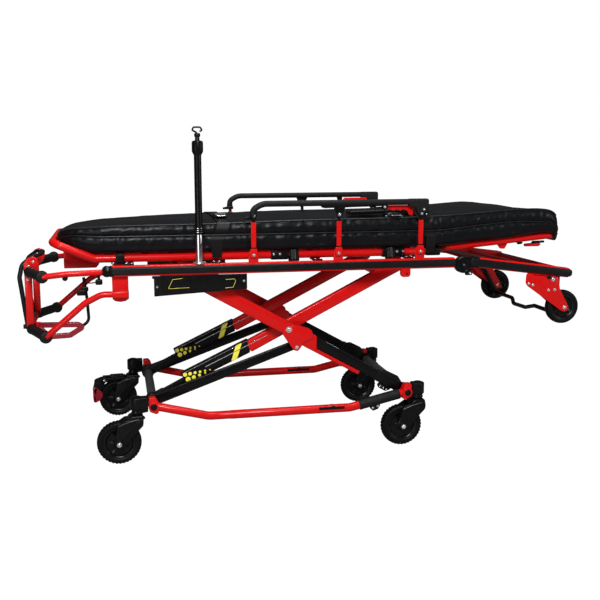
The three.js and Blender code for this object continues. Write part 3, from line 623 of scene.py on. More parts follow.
def fork(name, swivel_x, y, braked):
    axle = (swivel_x - CASTER_TRAIL, CASTER_R)
    piece = stand_in(f"{name}_fork", name, "black_plastic")
    bearing = [(0, 164), (20, 164), (21, 162), (26, 158), (27, 154), (0, 154)]
    piece.add(PLASTIC, revolve(bearing, (swivel_x, y, 0), UP))
    washer = [(0, 171.2), (15, 171.2), (16, 170.4), (16, 168), (0, 168)]
    piece.add(BLACK, revolve(washer, (swivel_x, y, 0), UP))
    crown = moved([(-38, 150), (-28, 164), (-18, 170), (18, 170), (22, 150)], swivel_x)
    piece.plate(PLASTIC, crown, (y - 32, y + 32), 4, 4)
    cheek = [
        (swivel_x - 42, 156), (swivel_x + 22, 158), (swivel_x + 19, 136),
        (axle[0] + 16, 68), (axle[0], 57), (axle[0] - 16, 74), (swivel_x - 66, 140)]
    for flip in (-1, 1):
        piece.plate(PLASTIC, cheek, beside(y, flip, 27, 33), 2, 9)
        rib = [(swivel_x + 16, 150), (swivel_x - 6, 150), (axle[0] - 1, 88), (axle[0] + 9, 86)]
        outside = beside(y, flip, 32, 35.5)
        piece.plate(PLASTIC, rib, outside, 1.4, 6)
        piece.pin(PLASTIC, axle, 14, outside, fillet=1.4)
        piece.bolt((axle[0], y + flip * 35, axle[1]), (0, flip, 0), 6.6)
        # Painted highlight: a thin grey tube along the top edge of each cheek stands in for the light caught by that
        # edge; it is not a part.
        edge = [(x, y + flip * 34, z) for x, z in moved([(4, 160), (-30, 152), (-64, 139)], swivel_x)]
        piece.add(GREY, tube(edge, 1.6, bend=60, sides=10, fillet=0.4))
    if braked:
        x, z = BRAKE_HINGE
        arm = [(swivel_x - 30, 163), (x - 9, z + 9), (x - 9, z - 9), (swivel_x - 36, 152)]
        for flip in (-1, 1):
            piece.plate(PLASTIC, arm, beside(y, flip, 22, 28), 1.5, 6)
            piece.bolt((x, y + flip * 28, z), (0, flip, 0), 4)
        piece.pin(PLASTIC, BRAKE_HINGE, 3.6, (y - 28, y + 28))
        cover = [(swivel_x - 34, 160), (swivel_x - 42, 169), (x + 24, 168), (x + 14, 160), (swivel_x - 60, 158)]
        piece.plate(PLASTIC, cover, (y - 18, y + 18), 3, 5)
    piece.done()


def caster_wheel(node, body, swivel_x, y):
    centre = (swivel_x - CASTER_TRAIL, y, CASTER_R)

    def tread(r, h, turn):
        lug = math.sin(turn * 36 + (0.9 if h > 0 else -0.9))
        depth = 2.0 if r > 70 and abs(h) > 3 else 0
        return r - depth * (0.5 - 0.5 * math.tanh(3 * lug)), h

    wheel = stand_in(node, body, "tyre")
    half = [(52, 16), (55, 18.6), (62, 19.8), (68, 19.2), (72, 16.4), (74.2, 11), (74.9, 4), (75, 1)]
    wheel.add(TYRE, revolve(mirrored(half), centre, sides=144, warp=tread))
    wheel_centre(wheel, centre, 54, 16.5, 6.6)
    wheel.done()


def wheel_centre(wheel, centre, rim, width, bore):
    """A moulded wheel centre with a raised rim, six shallow pockets and a boss."""
    def pockets(r, h, turn):
        inside = rim * 0.42 < r < rim * 0.8
        dip = 2.6 * max(0, math.cos(6 * turn)) if inside else 0
        return r, h - math.copysign(dip, h)

    half = [
        (bore, width + 1), (rim * 0.24, width + 1), (rim * 0.3, width - 1), (rim * 0.36, width * 0.62),
        (rim * 0.5, width * 0.55), (rim * 0.62, width * 0.55), (rim * 0.78, width * 0.6), (rim * 0.84, width * 0.85),
        (rim * 0.9, width), (rim * 0.96, width + 0.8), (rim, width)]
    wheel.add(HUB_BLACK, revolve(mirrored(half), centre, sides=72, warp=pockets))


def brake_pedal():
    pedal = stand_in("brake_pedal", "brake_pedal", "red_paint")
    arm = moved([(8, 7), (7, -8), (-26, -40), (-44, -30), (-40, -4), (-14, 6)], *BRAKE_HINGE)
    for flip in (-1, 1):
        pedal.plate(PLASTIC, arm, beside(SIDE_Y, flip, 14, 20), 1.5, 6)
    pedal.pin(PLASTIC, BRAKE_HINGE, 7.5, (SIDE_Y - 14, SIDE_Y + 14))
    shape = [(-768, 124), (-760, 128), (-748, 120), (-752, 108), (-755, 97), (-756, 84), (-756, 70), (-760, 62),
             (-768, 66), (-769, 82), (-764, 95), (-768, 110)]
    pedal.plate(MAROON, shape, (SIDE_Y - 26, SIDE_Y + 26), 4, 5)
    cheek = [(-767, 118), (-758, 122), (-744, 114), (-732, 102), (-732, 86), (-742, 71), (-760, 62), (-768, 66)]
    plate = [(-766, 126), (-757, 141), (-738, 140), (-724, 136), (-724, 122), (-738, 110), (-756, 110)]
    for flip in (-1, 1):
        pedal.plate(MAROON, cheek, beside(SIDE_Y, flip, 20.8, 26), 1.6, 5)
        pedal.plate(PLASTIC, plate, beside(SIDE_Y, flip, 20.8, 24.6), 1.2, 4)
    for i in range(4):
        low = 80 + i * 11
        pedal.box(MAROON, (-770, -764), (SIDE_Y - 20, SIDE_Y + 20), (low, low + 4), 0.8, 1, axis="y")
    pedal.done()


# ---- legs

def outer_leg(side, label):
    upper = stand_in(f"leg_b_upper_{label}", "leg_b_upper", "red_paint", side)
    outline = [(-430, -23), (134, -23), (120, -6), (104, 24), (-430, 24), (-446, 14), (-446, -12)]
    upper.plate(RED, [down_b(*p) for p in outline], LEG_B_Y, 5, 5)
    upper.bar(RED, down_b, (20, 308), (-29, -15.5), LEG_B_Y, bevel=3)
    gusset = [
        (-104, 428), (-68, 372), (-60, 361), (-50, 357), (-42, 360), (-23, 388), (12, 402), (4, 430), (-60, 452)]
    for layer in ((261, 267), (233, 239)):
        upper.plate(RED, gusset, layer, 1.5, 9)
    upper.pin(RED, TRACK_PIVOT, 22, (236, 264), fillet=3)
    upper.pin(STEEL_AND_PAINTED_HIGHLIGHT, TRACK_PIVOT, 7, (263, 277))
    upper.pin(PLASTIC, TRACK_PIVOT, 15.4, (266, 277), fillet=2)
    upper.pin(STEEL_AND_PAINTED_HIGHLIGHT, CROSS, 8, (212.8, 266))
    upper.pin(PLASTIC, CROSS, 18, (212.5, 237))
    upper.side_bolt((CROSS[0], 267, CROSS[1]), 8.6)
    upper.pin(STEEL_AND_PAINTED_HIGHLIGHT, LINK_PIN, 6, (233, 268))
    upper.side_bolt((LINK_PIN[0], 267, LINK_PIN[1]), 5.2)
    upper.done()

    lower = stand_in(f"leg_b_lower_{label}", "leg_b_lower", "black_paint", side)
    lower.bar(BLACK, down_b, (78, LEG_B_FOOT), (-15, 20), LEG_B_TUBE_Y, 4, 3)
    lower.bar(PLASTIC, down_b, (372, LEG_B_FOOT - 20), (-19, 22.5), (238, 262), 4, 6)
    boot = [(382, 18), (398, 31), (448, 33), (468, 22), (468, -10), (382, -10)]
    lower.plate(PLASTIC, [down_b(*p) for p in boot], LEG_B_TUBE_Y, 5, 7)
    lug = [(398, -14), (394, -30), (404, -37), (432, -37), (444, -26), (446, -14)]
    lower.plate(PLASTIC, [down_b(*p) for p in lug], (245, 257), 2, 4)
    for s in (405, 418, 432):
        x, z = down_b(s, -29)
        lower.side_bolt((x, 257, z), 3.2)
    lower.pin(PLASTIC, (HEAD_X, BASE_Z), 24, LEG_B_TUBE_Y, fillet=3)
    lower.done()


def inner_leg(side, label):
    upper = stand_in(f"leg_a_upper_{label}", "leg_a_upper", "red_paint", side)
    beam = [(-LEG_A_TOP - 8, -22), (150, -22), (160, 22), (-LEG_A_TOP - 8, 22)]
    upper.plate(RED, [down_a(*p) for p in beam], LEG_A_Y, 5, 8)
    sleeve = [(142, 22.6), (404, 22.6), (404, -22.6), (154, -25)]
    upper.plate(BLACK, [down_sleeve(*p) for p in sleeve], (183.4, 212.6), 5, 3)
    upper.pin(RED, LITTER_PIVOT, 22, (183.5, 212.5), fillet=4)
    for face in ((212.4, 212.95), (183.05, 183.6)):
        # Painted highlights: two thin bolt-steel bars on each face stand in for the highlight lines on the rounded
        # leg, not for parts. One runs along the middle of the leg and one along the top edge of the black sleeve.
        upper.bar(STEEL_AND_PAINTED_HIGHLIGHT, down_sleeve, (74, 318), (2.6, 5), face, 0.1, 0.3)
        upper.bar(STEEL_AND_PAINTED_HIGHLIGHT, down_sleeve, (176, 400), (19, 20), face, 0.1, 0.3)
        band = [(164, 22), (189, 22), (203, 8), (216, -8), (230, -22), (206, -22), (192, -8), (178, 8)]
        upper.plate(YELLOW, [down_sleeve(*p) for p in band], face, 0.1, 6)
        for i in range(6):
            upper.pin(YELLOW, down_sleeve(393 - i * 17, 12 - i * 5), 7.4 - 0.95 * i, face, fillet=0.1, sides=24)
        for i in range(4):
            upper.pin(YELLOW, down_sleeve(391 - i * 21, -8 - i * 2.4), 9 - 1.9 * i, face, fillet=0.1, sides=24)
    upper.done()

    lower = stand_in(f"leg_a_lower_{label}", "leg_a_lower", "black_paint", side)
    lower.bar(BLACK, down_a, (230, LEG_A_FOOT), (-11, 14), LEG_A_TUBE_Y, 4, 3)
    lower.pin(PLASTIC, (FOOT_X, BASE_Z), 24, LEG_A_TUBE_Y, fillet=3)
    lower.bar(PLASTIC, down_a, (LEG_A_FOOT - 50, LEG_A_FOOT - 10), (-17, 17), (186.5, 209.5), 4, 6)
    lower.done()


def legs():
    for label, side in SIDES:
        outer_leg(side, label)
        inner_leg(side, label)
        run, rise = LINK_PIN[0] - FOOT_X, LINK_PIN[1] - BASE_Z
        along = line_map((FOOT_X, BASE_Z), angle_of(run, rise))
        length = math.hypot(run, rise)
        bar = stand_in(f"link_{label}", "links", "black_paint", side)
        outline = [along(0, -19), along(length, -16), along(length, 16), along(0, 19)]
        bar.plate(BLACK, outline, LINK_Y, 3.5, 3)
        bar.pin(BLACK, LINK_PIN, 16, LINK_Y, fillet=3)
        bar.pin(PLASTIC, (FOOT_X, BASE_Z), 25, LINK_Y, fillet=3)
        bar.done()

    cross = stand_in("leg_b_cross_bar", "leg_b_upper", "red_paint")
    cross.pin(RED, TRACK_PIVOT, 12, (-236.7, 236.7))
    cross.add(PLASTIC, disc(TRACK_PIVOT, 16, (-236.7, -228)), disc(TRACK_PIVOT, 16, (228, 236.7)))
    cross.done()
    plate = stand_in("leg_a_cross_plate", "leg_a_upper", "red_paint")
    plate.bar(RED, down_a, (-404, -384), (-10, 10), (-183.6, 183.6), 2, 7)
    plate.done()


# ---- litter

def rail(side, label):
    piece = stand_in(f"rail_{label}", "litter", "red_paint", side)
    piece.box(RED, RAIL_X, RAIL_Y, RAIL_Z, 1.5, 4)
    strip_outline = [(300, 648), (309, 649), (311.5, 653), (311.5, 669), (309, 673), (300, 674)]
    piece.add(STRIP, prism([(side * y, z) for y, z in strip_outline], RAIL_X, 1.5, 2, axis="x"))
    end = (RAIL_X[0], side * 292.5, 660)
    cap = [
        (0, -30), (10, -30), (17, -27), (20.5, -22), (20.5, -12), (18.5, -9), (20.5, -6), (20.5, 4), (18, 6), (0, 6)]
    piece.add(PLASTIC, revolve(cap, end, (1, 0, 0), sides=6))
    piece.add(PLASTIC, revolve([(0, -31), (13, -31), (14, -29), (14, -20), (0, -20)], end, (1, 0, 0)))

    track = TRACK_PIVOT[1]
    piece.box(RED, TRACK_X, (278, 281), (track - 21, track + 21), corner=1)
    for low in (track - 21, track + 17):
        piece.box(RED, TRACK_X, (265.5, 281), (low, low + 4), corner=1.2)
    for x in (-620, -330, 20, 350):
        piece.box(PLASTIC, (x - 16, x + 16), (228, 292), (RAIL_Z[1] - 1, 684.6), corner=1.5, axis="y")
        piece.bolt((x - 9, side * 286, 684.6), UP, 3.4)
        piece.bolt((x + 9, side * 286, 684.6), UP, 3.4)
    for x in POST_X:
        lug = moved([(-17, 677), (17, 677), (17, POST_FOOT_Z + 6), (9, 723), (-9, 723), (-17, POST_FOOT_Z + 6)], x)
        piece.plate(RED, lug, (294, 301.5), 1.6, 7)
        piece.pin(STEEL_AND_PAINTED_HIGHLIGHT, (x, POST_FOOT_Z), 5, (294, 309))
        piece.side_bolt((x, 308.5, POST_FOOT_Z), 4.2)

    plate = [(-677, 644), (-624, 644), (-624, 566), (-634, 559), (-651, 556), (-668, 559), (-677, 566)]
    piece.plate(RED, plate, (280, 286.5), 1.5, 3)
    stop = [(318, 644), (352, 644), (352, 622), (346, 614), (324, 614), (318, 622)]
    piece.plate(RED, stop, (283, 303), 2.5, 4)
    piece.pin(PLASTIC, (338, 626), 3.4, (300, 304.4))
    piece.box(PLASTIC, (468, 514), (266, 282), (643, 674), corner=4)
    cheek = [(492, 643), (492, 672), (540, 668), (562, 653), (540, 638)]
    piece.plate(PLASTIC, cheek, (266, 276), 2, 8)
    nameplate(piece, side)
    piece.done()


def nameplate(piece, side):
    """A blank black plate below the rail, with a thin yellow border in two open brackets."""
    outline = [(-541, 573), (-229, 590), (-229, 642), (-547, 642), (-547, 634), (-541, 632)]
    piece.plate(PLASTIC, outline, (299, NAMEPLATE_Y), 0.8, 2)
    left = [(-446, 632), (-480, 628), (-494, 598), (-424, 600)]
    right = [(-302, 624), (-272, 625), (-268, 619), (-277, 597), (-304, 595)]
    for corners in (left, right):
        path = bent([(x, side * NAMEPLATE_Y, z) for x, z in corners], 2)
        piece.add(YELLOW, sweep(path, circle(0.6, 8), fillet=0.2))
    for x, z in ((-531, 605), (-240, 618)):
        piece.side_bolt((x, NAMEPLATE_Y, z), 3)


def litter_frame():
    piece = stand_in("litter_frame", "litter", "red_paint")
    loop = [
        (HINGE_X, -FRAME_Y, FRAME_Z), (-730, -FRAME_Y, FRAME_Z), (-848, -FRAME_Y, 745), (-866, -214, 752),
        (-866, 0, 752)]
    far_half = [(x, -y, z) for x, y, z in reversed(loop[:-1])]
    piece.add(RED, sweep(bent(loop[:-1] + far_half, 44), circle(FRAME_R)))
    across = (-FRAME_Y, FRAME_Y)
    for x in (-560, -330, 20):
        piece.box(RED, (x - 10, x + 10), across, (689, 705), corner=3, axis="y")
    piece.box(RED, (-756, -744), across, (693, 705), corner=2, axis="y")
    x = LITTER_PIVOT[0]
    piece.box(RED, (x - 16, x + 16), across, (685, 705), corner=3, axis="y")
    piece.pin(BLACK, (HINGE_X, FRAME_Z), 12, across)
    piece.box(RED, (-836, -728), (-150, 150), (656, 665), corner=2, axis="y")
    for x0, top in ((-829, 738), (-750, 700)):
        piece.box(RED, (x0 - 6, x0 + 6), (-150, 150), (660, top), corner=2, axis="y")
    for side in piece.both_sides():
        gusset = [(-836, 657), (-728, 657), (-716, 672), (-742, 692), (-790, 700), (-828, 724), (-836, 724)]
        piece.plate(RED, gusset, (146, 152), 1.5, 5)
        cheek = moved([(-16, 694), (16, 694), (16, 640), (8, 626), (-8, 626), (-16, 640)], x)
        for layer in ((176, 183), (213, 220)):
            piece.plate(RED, cheek, layer, 1.5, 7)
        piece.pin(STEEL_AND_PAINTED_HIGHLIGHT, LITTER_PIVOT, 8, (173, 223))
        for at in (-649, -89):
            piece.box(PLASTIC, (at - 14, at + 14), (226, 256), (684, 711), 1.5, 6, axis="x")
        for at in (-672, -626):
            piece.box(PLASTIC, (at - 6, at + 6), (244, 262), (679.5, 687), 1.5, 2)
            piece.side_bolt((at, 262, 683), 3.2)
        piece.box(PLASTIC, (-662, -634), (252, 264), (680, 712), 2, 3, axis="y")
        piece.box(PLASTIC, (424, 478), (226, 260), (683, 712), 4, 8)
        for low, high, knob, bolts in ((-138, -78, -57, (-129, -107)), (262, 344, 293, (315, 338))):
            piece.box(PLASTIC, (low, high), (227, 257), (681, 711), 3, 5)
            for spot in bolts:
                piece.side_bolt((spot, 257, 701), 3.6)
            shape = [(0, -20), (17, -20), (20, -17), (20, 17), (17, 20), (0, 20)]
            piece.add(PLASTIC, revolve(
                shape, (knob, side * 246, 694), (0, 0.3, 1), sides=48, warp=fluted(16, 0.9, 16)))
    piece.done()


def grip(piece, start, end):
    """A foam grip on a tube: a ribbed sleeve with a wide flange at its outer end."""
    start, end = Vector(start), Vector(end)
    length = (end - start).length
    profile = [(0, -9), (15, -9), (19.5, -6), (21, -1), (21, 5), (19.5, 9), (16.4, 13), (15.6, 18)]
    count = 7
    for i in range(count):
        base_h = 20 + (length - 34) * i / count
        pitch = (length - 34) / count
        profile += [(16.4, base_h), (16.4, base_h + pitch * 0.72), (15.4, base_h + pitch * 0.82)]
    profile += [(17.4, length - 10), (18, length - 2), (16, length + 6), (0, length + 6)]
    piece.add(RUBBER, revolve(profile, start, end - start, sides=32))


def foot_frame():
    piece = stand_in("foot_frame", "litter", "red_paint")
    for side in piece.both_sides():
        upper = [(-700, side * 292, 658), (-820, side * 294, 655), (-898, side * 297, 648)]
        lower = [(-626, side * 297, 583), (-712, side * 297, 585), (-766, side * 297, 558), (-894, side * 297, 449)]
        piece.add(RED, tube(upper, 10, 200), tube(lower, 10.5, 60))
        piece.box(RED, (-676, -625), (284, 309), (570, 596), 2, 9)
        piece.box(PLASTIC, (-629, -623.5), (286, 308), (571, 595), 1.5, 9)
        grip(piece, upper[2], (BRIDGE_X + 4, side * (GRIP_Y + 10), 648))
        grip(piece, lower[3], (BRIDGE_X + 4, side * (GRIP_Y + 10), 452))
        upright = moved([(-12, 440), (12, 440), (12, 664), (-12, 664)], BRIDGE_X)
        piece.plate(RED, upright, (GRIP_Y - 9, GRIP_Y + 9), 3, 4)
        ear = [(-970, 640), (-937, 640), (-926, 652), (-918, 672), (-922, 692), (-938, 700), (-956, 694), (-968, 676)]
        piece.plate(RED, ear, (GRIP_Y - 8, GRIP_Y + 4), 3, 12)
        piece.side_bolt((-936, GRIP_Y + 4, 682), 4)
        piece.side_bolt((-951, GRIP_Y + 4, 668), 3)
        piece.side_bolt((-955, GRIP_Y + 9, 622), 3.4)
        piece.pin(PLASTIC, (-826, 642), 9, (286, 302), fillet=3)
    piece.add(RED, tube([(BRIDGE_X, y, RELEASE_PIVOT[1]) for y in (-GRIP_Y, GRIP_Y)], 9))
    stay = [(-770, HANDLE_Y, 596), (-746, -170, 606), (-722, -258, 622)]
    piece.add(BLACK, tube(stay, 2, bend=80, sides=12))
    piece.box(PLASTIC, (-731, -708), (-272, -256), (613, 631), 3, 5, axis="y")
    piece.box(PLASTIC, (-724, -715), (-268, -258), (627, 642), 2, 3, axis="y")
    piece.done()

    half = 116
    bar = stand_in("release_bar", "release_bar", "grip_rubber")
    side_run = [
        (-966, -half, 446), (-987, -half, 625), (-977, 6 - half, 668), (-942, 30 - half, 693), (-918, -40, 697)]
    bar.add(RUBBER, tube(side_run + [(x, -y, z) for x, y, z in reversed(side_run)], 8, 30))
    for side in bar.both_sides():
        bar.pin(PLASTIC, RELEASE_PIVOT, 15, (half - 8, half + 8), fillet=2.5)
        bar.box(PLASTIC, (-982, BRIDGE_X), (half - 6, half + 6), (446, 462), 2, 4)
        bar.bolt((-930, side * (half - 48), 702), UP, 3)
    bar.done()


def release_handle():
    piece = stand_in("release_handle", "release_handle", "red_paint")
    loop = [(-936, 447), (-900, 409), (-828, 412), (-784, 439), (-800, 449), (-934, 452)]
    piece.add(MAROON, sweep(
        bent([(x, HANDLE_Y, z) for x, z in loop], 18),
        [(p.x, p.y) for p in rounded([(-9, -9), (9, -9), (9, 9), (-9, 9)], 4)]))
    piece.pin(RED, RELEASE_PIVOT, 16, (HANDLE_Y - 8, HANDLE_Y + 8), fillet=2)
    piece.box(RED, (BRIDGE_X, -926), (HANDLE_Y - 4, HANDLE_Y + 4), (447, 464), 2, 3)
    rod = [(-788, HANDLE_Y, 441), (-762, HANDLE_Y, 460), (-766, HANDLE_Y, 540), (-775, HANDLE_Y, 616)]
    piece.add(BLACK, tube(rod, 5.4, 40))
    piece.box(PLASTIC, (-800, -768), (HANDLE_Y - 9, HANDLE_Y + 9), (552, 572), 3, 5, axis="y")
    piece.box(PLASTIC, (-784, -760), (HANDLE_Y - 6, HANDLE_Y + 6), (566, 582), 3, 5, axis="y")
    piece.done()


# ---- head section

def head_section():
    piece = stand_in("head_frame", "head_section", "red_paint")
    for side in piece.both_sides():
        piece.bar(RED, along_head, (22, 420), (-5, 31), RAIL_Y, 4, 13)
        piece.bar(STRIP, along_head, (24, 424), (-0.5, 26.5), (300, 311.5), 2.5, 12)
        piece.pin(PLASTIC, HUB, 30, (281.5, 309), fillet=3, sides=56)
        ring = [(21, 308), (24, 311.4), (27, 311.4), (29, 308)]
        piece.add(PLASTIC, revolve([(r, side * h) for r, h in ring], (HUB[0], 0, HUB[1]), sides=56))
        ring = [(9, 308), (11, 310.4), (13, 310.4), (15, 308)]
        piece.add(PLASTIC, revolve([(r, side * h) for r, h in ring], (HUB[0], 0, HUB[1]), sides=56))
        piece.pin(GREY, HUB, 4.5, (306, 312), fillet=1.5)
        piece.pin(STEEL_AND_PAINTED_HIGHLIGHT, HUB, 8, (262, 284))
        piece.bar(PLASTIC, along_head, (4, 60), (-6, 32), (283, 308), 4, 6)
        piece.box(PLASTIC, (560, 582), (288, 304), (614, 636), 2.5, 4)
        piece.side_bolt((574, 304, 622), 4)
    piece.bar(RED, along_head, (70, 190), (10, 20), BETWEEN_ARMS_Y, 2, 3)
    piece.bar(RED, along_head, (262, 296), (6, 20), BETWEEN_ARMS_Y, 3, 5)
    x, z = along_head(408, 13)
    piece.pin(RED, (x, z), 13, BETWEEN_ARMS_Y)
    for s in (110, 290):
        x, z = along_head(s, 20)
        piece.bolt((x, -230, z), (0.13, 0, 1), 5)
    piece.done()

    bar = stand_in("safety_bar", "safety_bar", "black_paint")
    pivot = (872, 560)
    for _ in bar.both_sides():
        bar.pin(BLACK, pivot, 12, (258, 267.5), fillet=1.5)
        arm = [(864, 560), (926, 449), (944, 456), (882, 568)]
        bar.plate(BLACK, arm, (259, 266), 1.5, 5)
    low = [(934, -264, 457), (934, -96, 457), (934, -20, 438), (934, 88, 436), (934, 100, 457), (934, 264, 457)]
    bar.add(BLACK, tube(low, 8, 14))
    bar.done()

    for label, side in SIDES:
        load_wheel(side, label)


def load_wheel(side, label):
    bracket = stand_in(f"load_bracket_{label}", "head_section", "red_paint", side)
    outline = [
        (787, 617), (785, 582), (794, 569), (846, 533), (928, 476), (943, 470), (958, 478), (958, 490), (922, 554),
        (912, 601)]
    bracket.plate(RED, outline, (311.6, 315.6), 1, 9)
    inner = [(822, 600), (826, 572), (850, 540)] + outline[4:9] + [(907, 598)]
    bracket.plate(RED, inner, (268, 272), 1, 9)
    bracket.bar(RED, along_head, (268, 363), (-10.3, -5.3), (268, 315.6), 1.2, 1)
    bracket.pin(STEEL_AND_PAINTED_HIGHLIGHT, LOAD_AXLE, 5, (266, 317))
    bolts = ((797, 579, 4.2), (813, 573, 4.2), (876, 553, 4.4), (900, 554, 4.4), (892, 592, 6.6), (*LOAD_AXLE, 6))
    for x, z, radius in bolts:
        bracket.side_bolt((x, 315.6, z), radius)
    bracket.box(PLASTIC, (868, 884), (312, 319), (594, 606), 2, 3)
    bracket.box(PLASTIC, (905, 921), (272, 312), (562, 602), 2, 4)
    bracket.done()

    wheel = stand_in(f"load_wheel_{label}", f"load_wheel_{label}", "tyre", side)
    centre = (LOAD_AXLE[0], side * LOAD_Y, LOAD_AXLE[1])
    half = [(44, 13), (47, 15.4), (53, 16.4), (58, 15), (61, 11), (62.4, 4), (62.5, 1)]
    wheel.add(TYRE, revolve(mirrored(half), centre, sides=96))
    wheel_centre(wheel, centre, 46, 13.5, 5.6)
    wheel.done()


# ---- side rails

def side_rail(side, label):
    y = side * 305
    for number, x in enumerate(POST_X, 1):
        name = f"rail_post_{label}_{number}"
        post = stand_in(name, name, "red_paint", side)
        post.box(PLASTIC, (x - 6, x + 6), (302.4, 307.6), (697, 846), 1, 1.5, axis="z")
        post.box(RED, (x - 8.5, x + 8.5), (301.8, 308.2), (730, 815), 1, 2.5, axis="z")
        post.box(RED, (x - 12, x + 12), (302, 308.4), (696, 726), 1, 5, axis="y")
        post.done()

    piece = stand_in(f"side_rail_{label}", f"side_rail_{label}", "grip_rubber", side)
    first, last = POST_X[0], POST_X[2]
    run = [(first - 3, y, 834), (first - 1, y, 858), (first + 30, y, TOP_RAIL_Z + 0.5), (last + 4, y, TOP_RAIL_Z + 2)]
    piece.add(RUBBER, tube(run, 10.5, 60))
    tabs = (
        [(-10, 852), (-12, 838), (-8, 829), (0, 826), (8, 829), (11, 838), (10, 852)],
        [(-26, 872), (-14, 848), (-10, 832), (0, 826), (10, 832), (14, 848), (26, 872)],
        [(-33, 860), (-24, 846), (-15, 830), (-6, 825), (14, 823), (24, 828), (26, 860)])
    end = moved([(-48, 889), (22, 889), (26, 884), (26, 860), (20, 840), (-14, 836), (-22, 858), (-48, 864)], last)
    piece.plate(RUBBER, end, (294, 315), 4, 6)
    for x, outline in zip(POST_X, tabs):
        piece.plate(PLASTIC, moved(outline, x), (308.6, 312.6), 1.2, 5)
        piece.pin(STEEL_AND_PAINTED_HIGHLIGHT, (x, POST_TOP_Z), 5, (302, 312))
        piece.side_bolt((x, 312.4, POST_TOP_Z), 4.8)
        piece.bolt((x, side * 301.9, POST_TOP_Z), (0, -side, 0), 4)
    flange = moved([(-30, 824), (10, 824), (12, 836), (-10, 836), (-32, 831)], first)
    piece.plate(PLASTIC, flange, (290, 301.6), 2, 3)
    piece.side_bolt((last + 7, 315, 852), 3.8)
    piece.side_bolt((last + 17, 312.4, 835), 2.6)
    hanger = [(236, 876), (240, 856), (250, 850), (260, 856), (262, 876)]
    piece.plate(PLASTIC, hanger, (309, 314), 1.2, 4)
    piece.side_bolt((250, 314, 862), 4)
    piece.done()

    latch = stand_in(f"side_latch_{label}", f"side_latch_{label}", "red_paint", side)
    wave = [
        (358, 866), (264, 866), (258, 860), (262, 851), (276, 853), (288, 846), (300, 853), (312, 846), (324, 852),
        (338, 846), (346, 832), (356, 828), (361, 836)]
    latch.plate(RED, wave, (285, 294), 2.4, 4)
    latch.done()


# ---- drip pole and backrest

def drip_pole():
    foot = (-388, -292, 0)
    pole = stand_in("drip_pole", "litter", "black_plastic")
    pole.add(STEEL_AND_PAINTED_HIGHLIGHT, revolve([(0, 679.4), (21, 679.4), (22, 681), (21, 684), (14, 686), (0, 686)], foot, UP))
    for turn in (-1, 1):
        pole.bolt((foot[0] + turn * 17, foot[1] - 6, 683), UP, 3.6)
    pole.add(CHROME, revolve([(0, 684), (12, 684), (12.4, 688), (12.4, 776), (12, 779), (0, 779)], foot, UP))
    rings = [(0, 777), (13, 777)]
    for low in (779, 785.5, 792, 798.5):
        rings += [(14.6, low + 0.6), (14.6, low + 4), (12.6, low + 4.6), (12.6, low + 6)]
    pole.add(PLASTIC, revolve(rings + [(12, 807), (0, 807)], foot, UP))
    for low in (783.4, 790, 796.4):
        pole.add(CHROME, revolve([(12, low), (13.8, low), (13.8, low + 2), (12, low + 2)], foot, UP))
    pole.add(BLACK, revolve([(0, 804), (12.3, 804), (12.3, 1042), (0, 1042)], foot, UP))
    collar = [
        (0, 1038), (12, 1038), (14, 1040), (17, 1046), (19, 1050), (19, 1078), (17, 1083), (11, 1085), (8.4, 1085),
        (8.4, 1080), (0, 1080)]
    pole.add(PLASTIC, revolve(collar, foot, UP, sides=48, warp=fluted(18, 0.8, 18)))
    pole.done()

    rod = stand_in("drip_rod", "drip_rod", "chrome")
    rod.add(BLACK, revolve([(0, 830), (7.2, 830), (7.6, 832), (7.6, 1102), (6, 1106), (0, 1106)], foot, UP))
    rod.add(PLASTIC, revolve([(0, 1097), (9, 1097), (10, 1099), (10, 1106), (8, 1109), (0, 1109)], foot, UP))
    hook = moved([(0, 1105), (-4, 1112), (-17, 1118), (-12, 1128), (10, 1128), (16, 1118), (8, 1114)], foot[0])
    rod.add(BLACK, tube([(x, foot[1], z) for x, z in hook], 3, 7, sides=14))
    rod.done()


def backrest():
    length, y = 476, 230
    at = lambda s, across: (along_back(s, 7)[0], across, along_back(s, 7)[1])
    piece = stand_in("backrest_frame", "backrest", "red_paint")
    loop = [at(34, -120), at(34, -y), at(length, -y), at(length, y), at(34, y), at(34, 120)]
    piece.add(RED, sweep(bent(loop, 40), circle(12.4)), sweep([at(34, -122), at(34, 122)], circle(12.4)))
    for s in (160, 300):
        piece.add(RED, sweep([at(s, -y), at(s, y)], circle(9)))
    for _ in piece.both_sides():
        piece.pin(PLASTIC, (HINGE_X, FRAME_Z), 15.4, (150, 178), fillet=2)
        piece.bar(PLASTIC, along_back, (6, 40), (-9, 9), (150, 178), 2, 4)
        lug = [along_back(s, up) for s, up in ((240, -4), (252, -22), (268, -24), (282, -4))]
        piece.plate(RED, lug, (219, 227), 1.2, 4)
        stub = [along_back(s, up) for s, up in ((318, -6), (322, -14), (336, -14), (342, -6))]
        piece.plate(PLASTIC, stub, (218, 229), 1.2, 3)
    piece.done()

    x, z = along_back(440, -30)
    lever = stand_in("backrest_handle", "backrest_handle", "red_paint")
    bar = moved([(-84, 5), (-84, -5), (-30, -5), (-22, 1), (-22, 7), (-60, 7)], x, z)
    lever.plate(RED, bar, (-214, -199), 2, 3)
    cover = moved([(-58, 6), (-6, 8), (-6, 16), (-52, 15)], x, z)
    lever.plate(PLASTIC, cover, (-212, -202), bevel=2)
    lever.done()


# ---- mattress and restraints

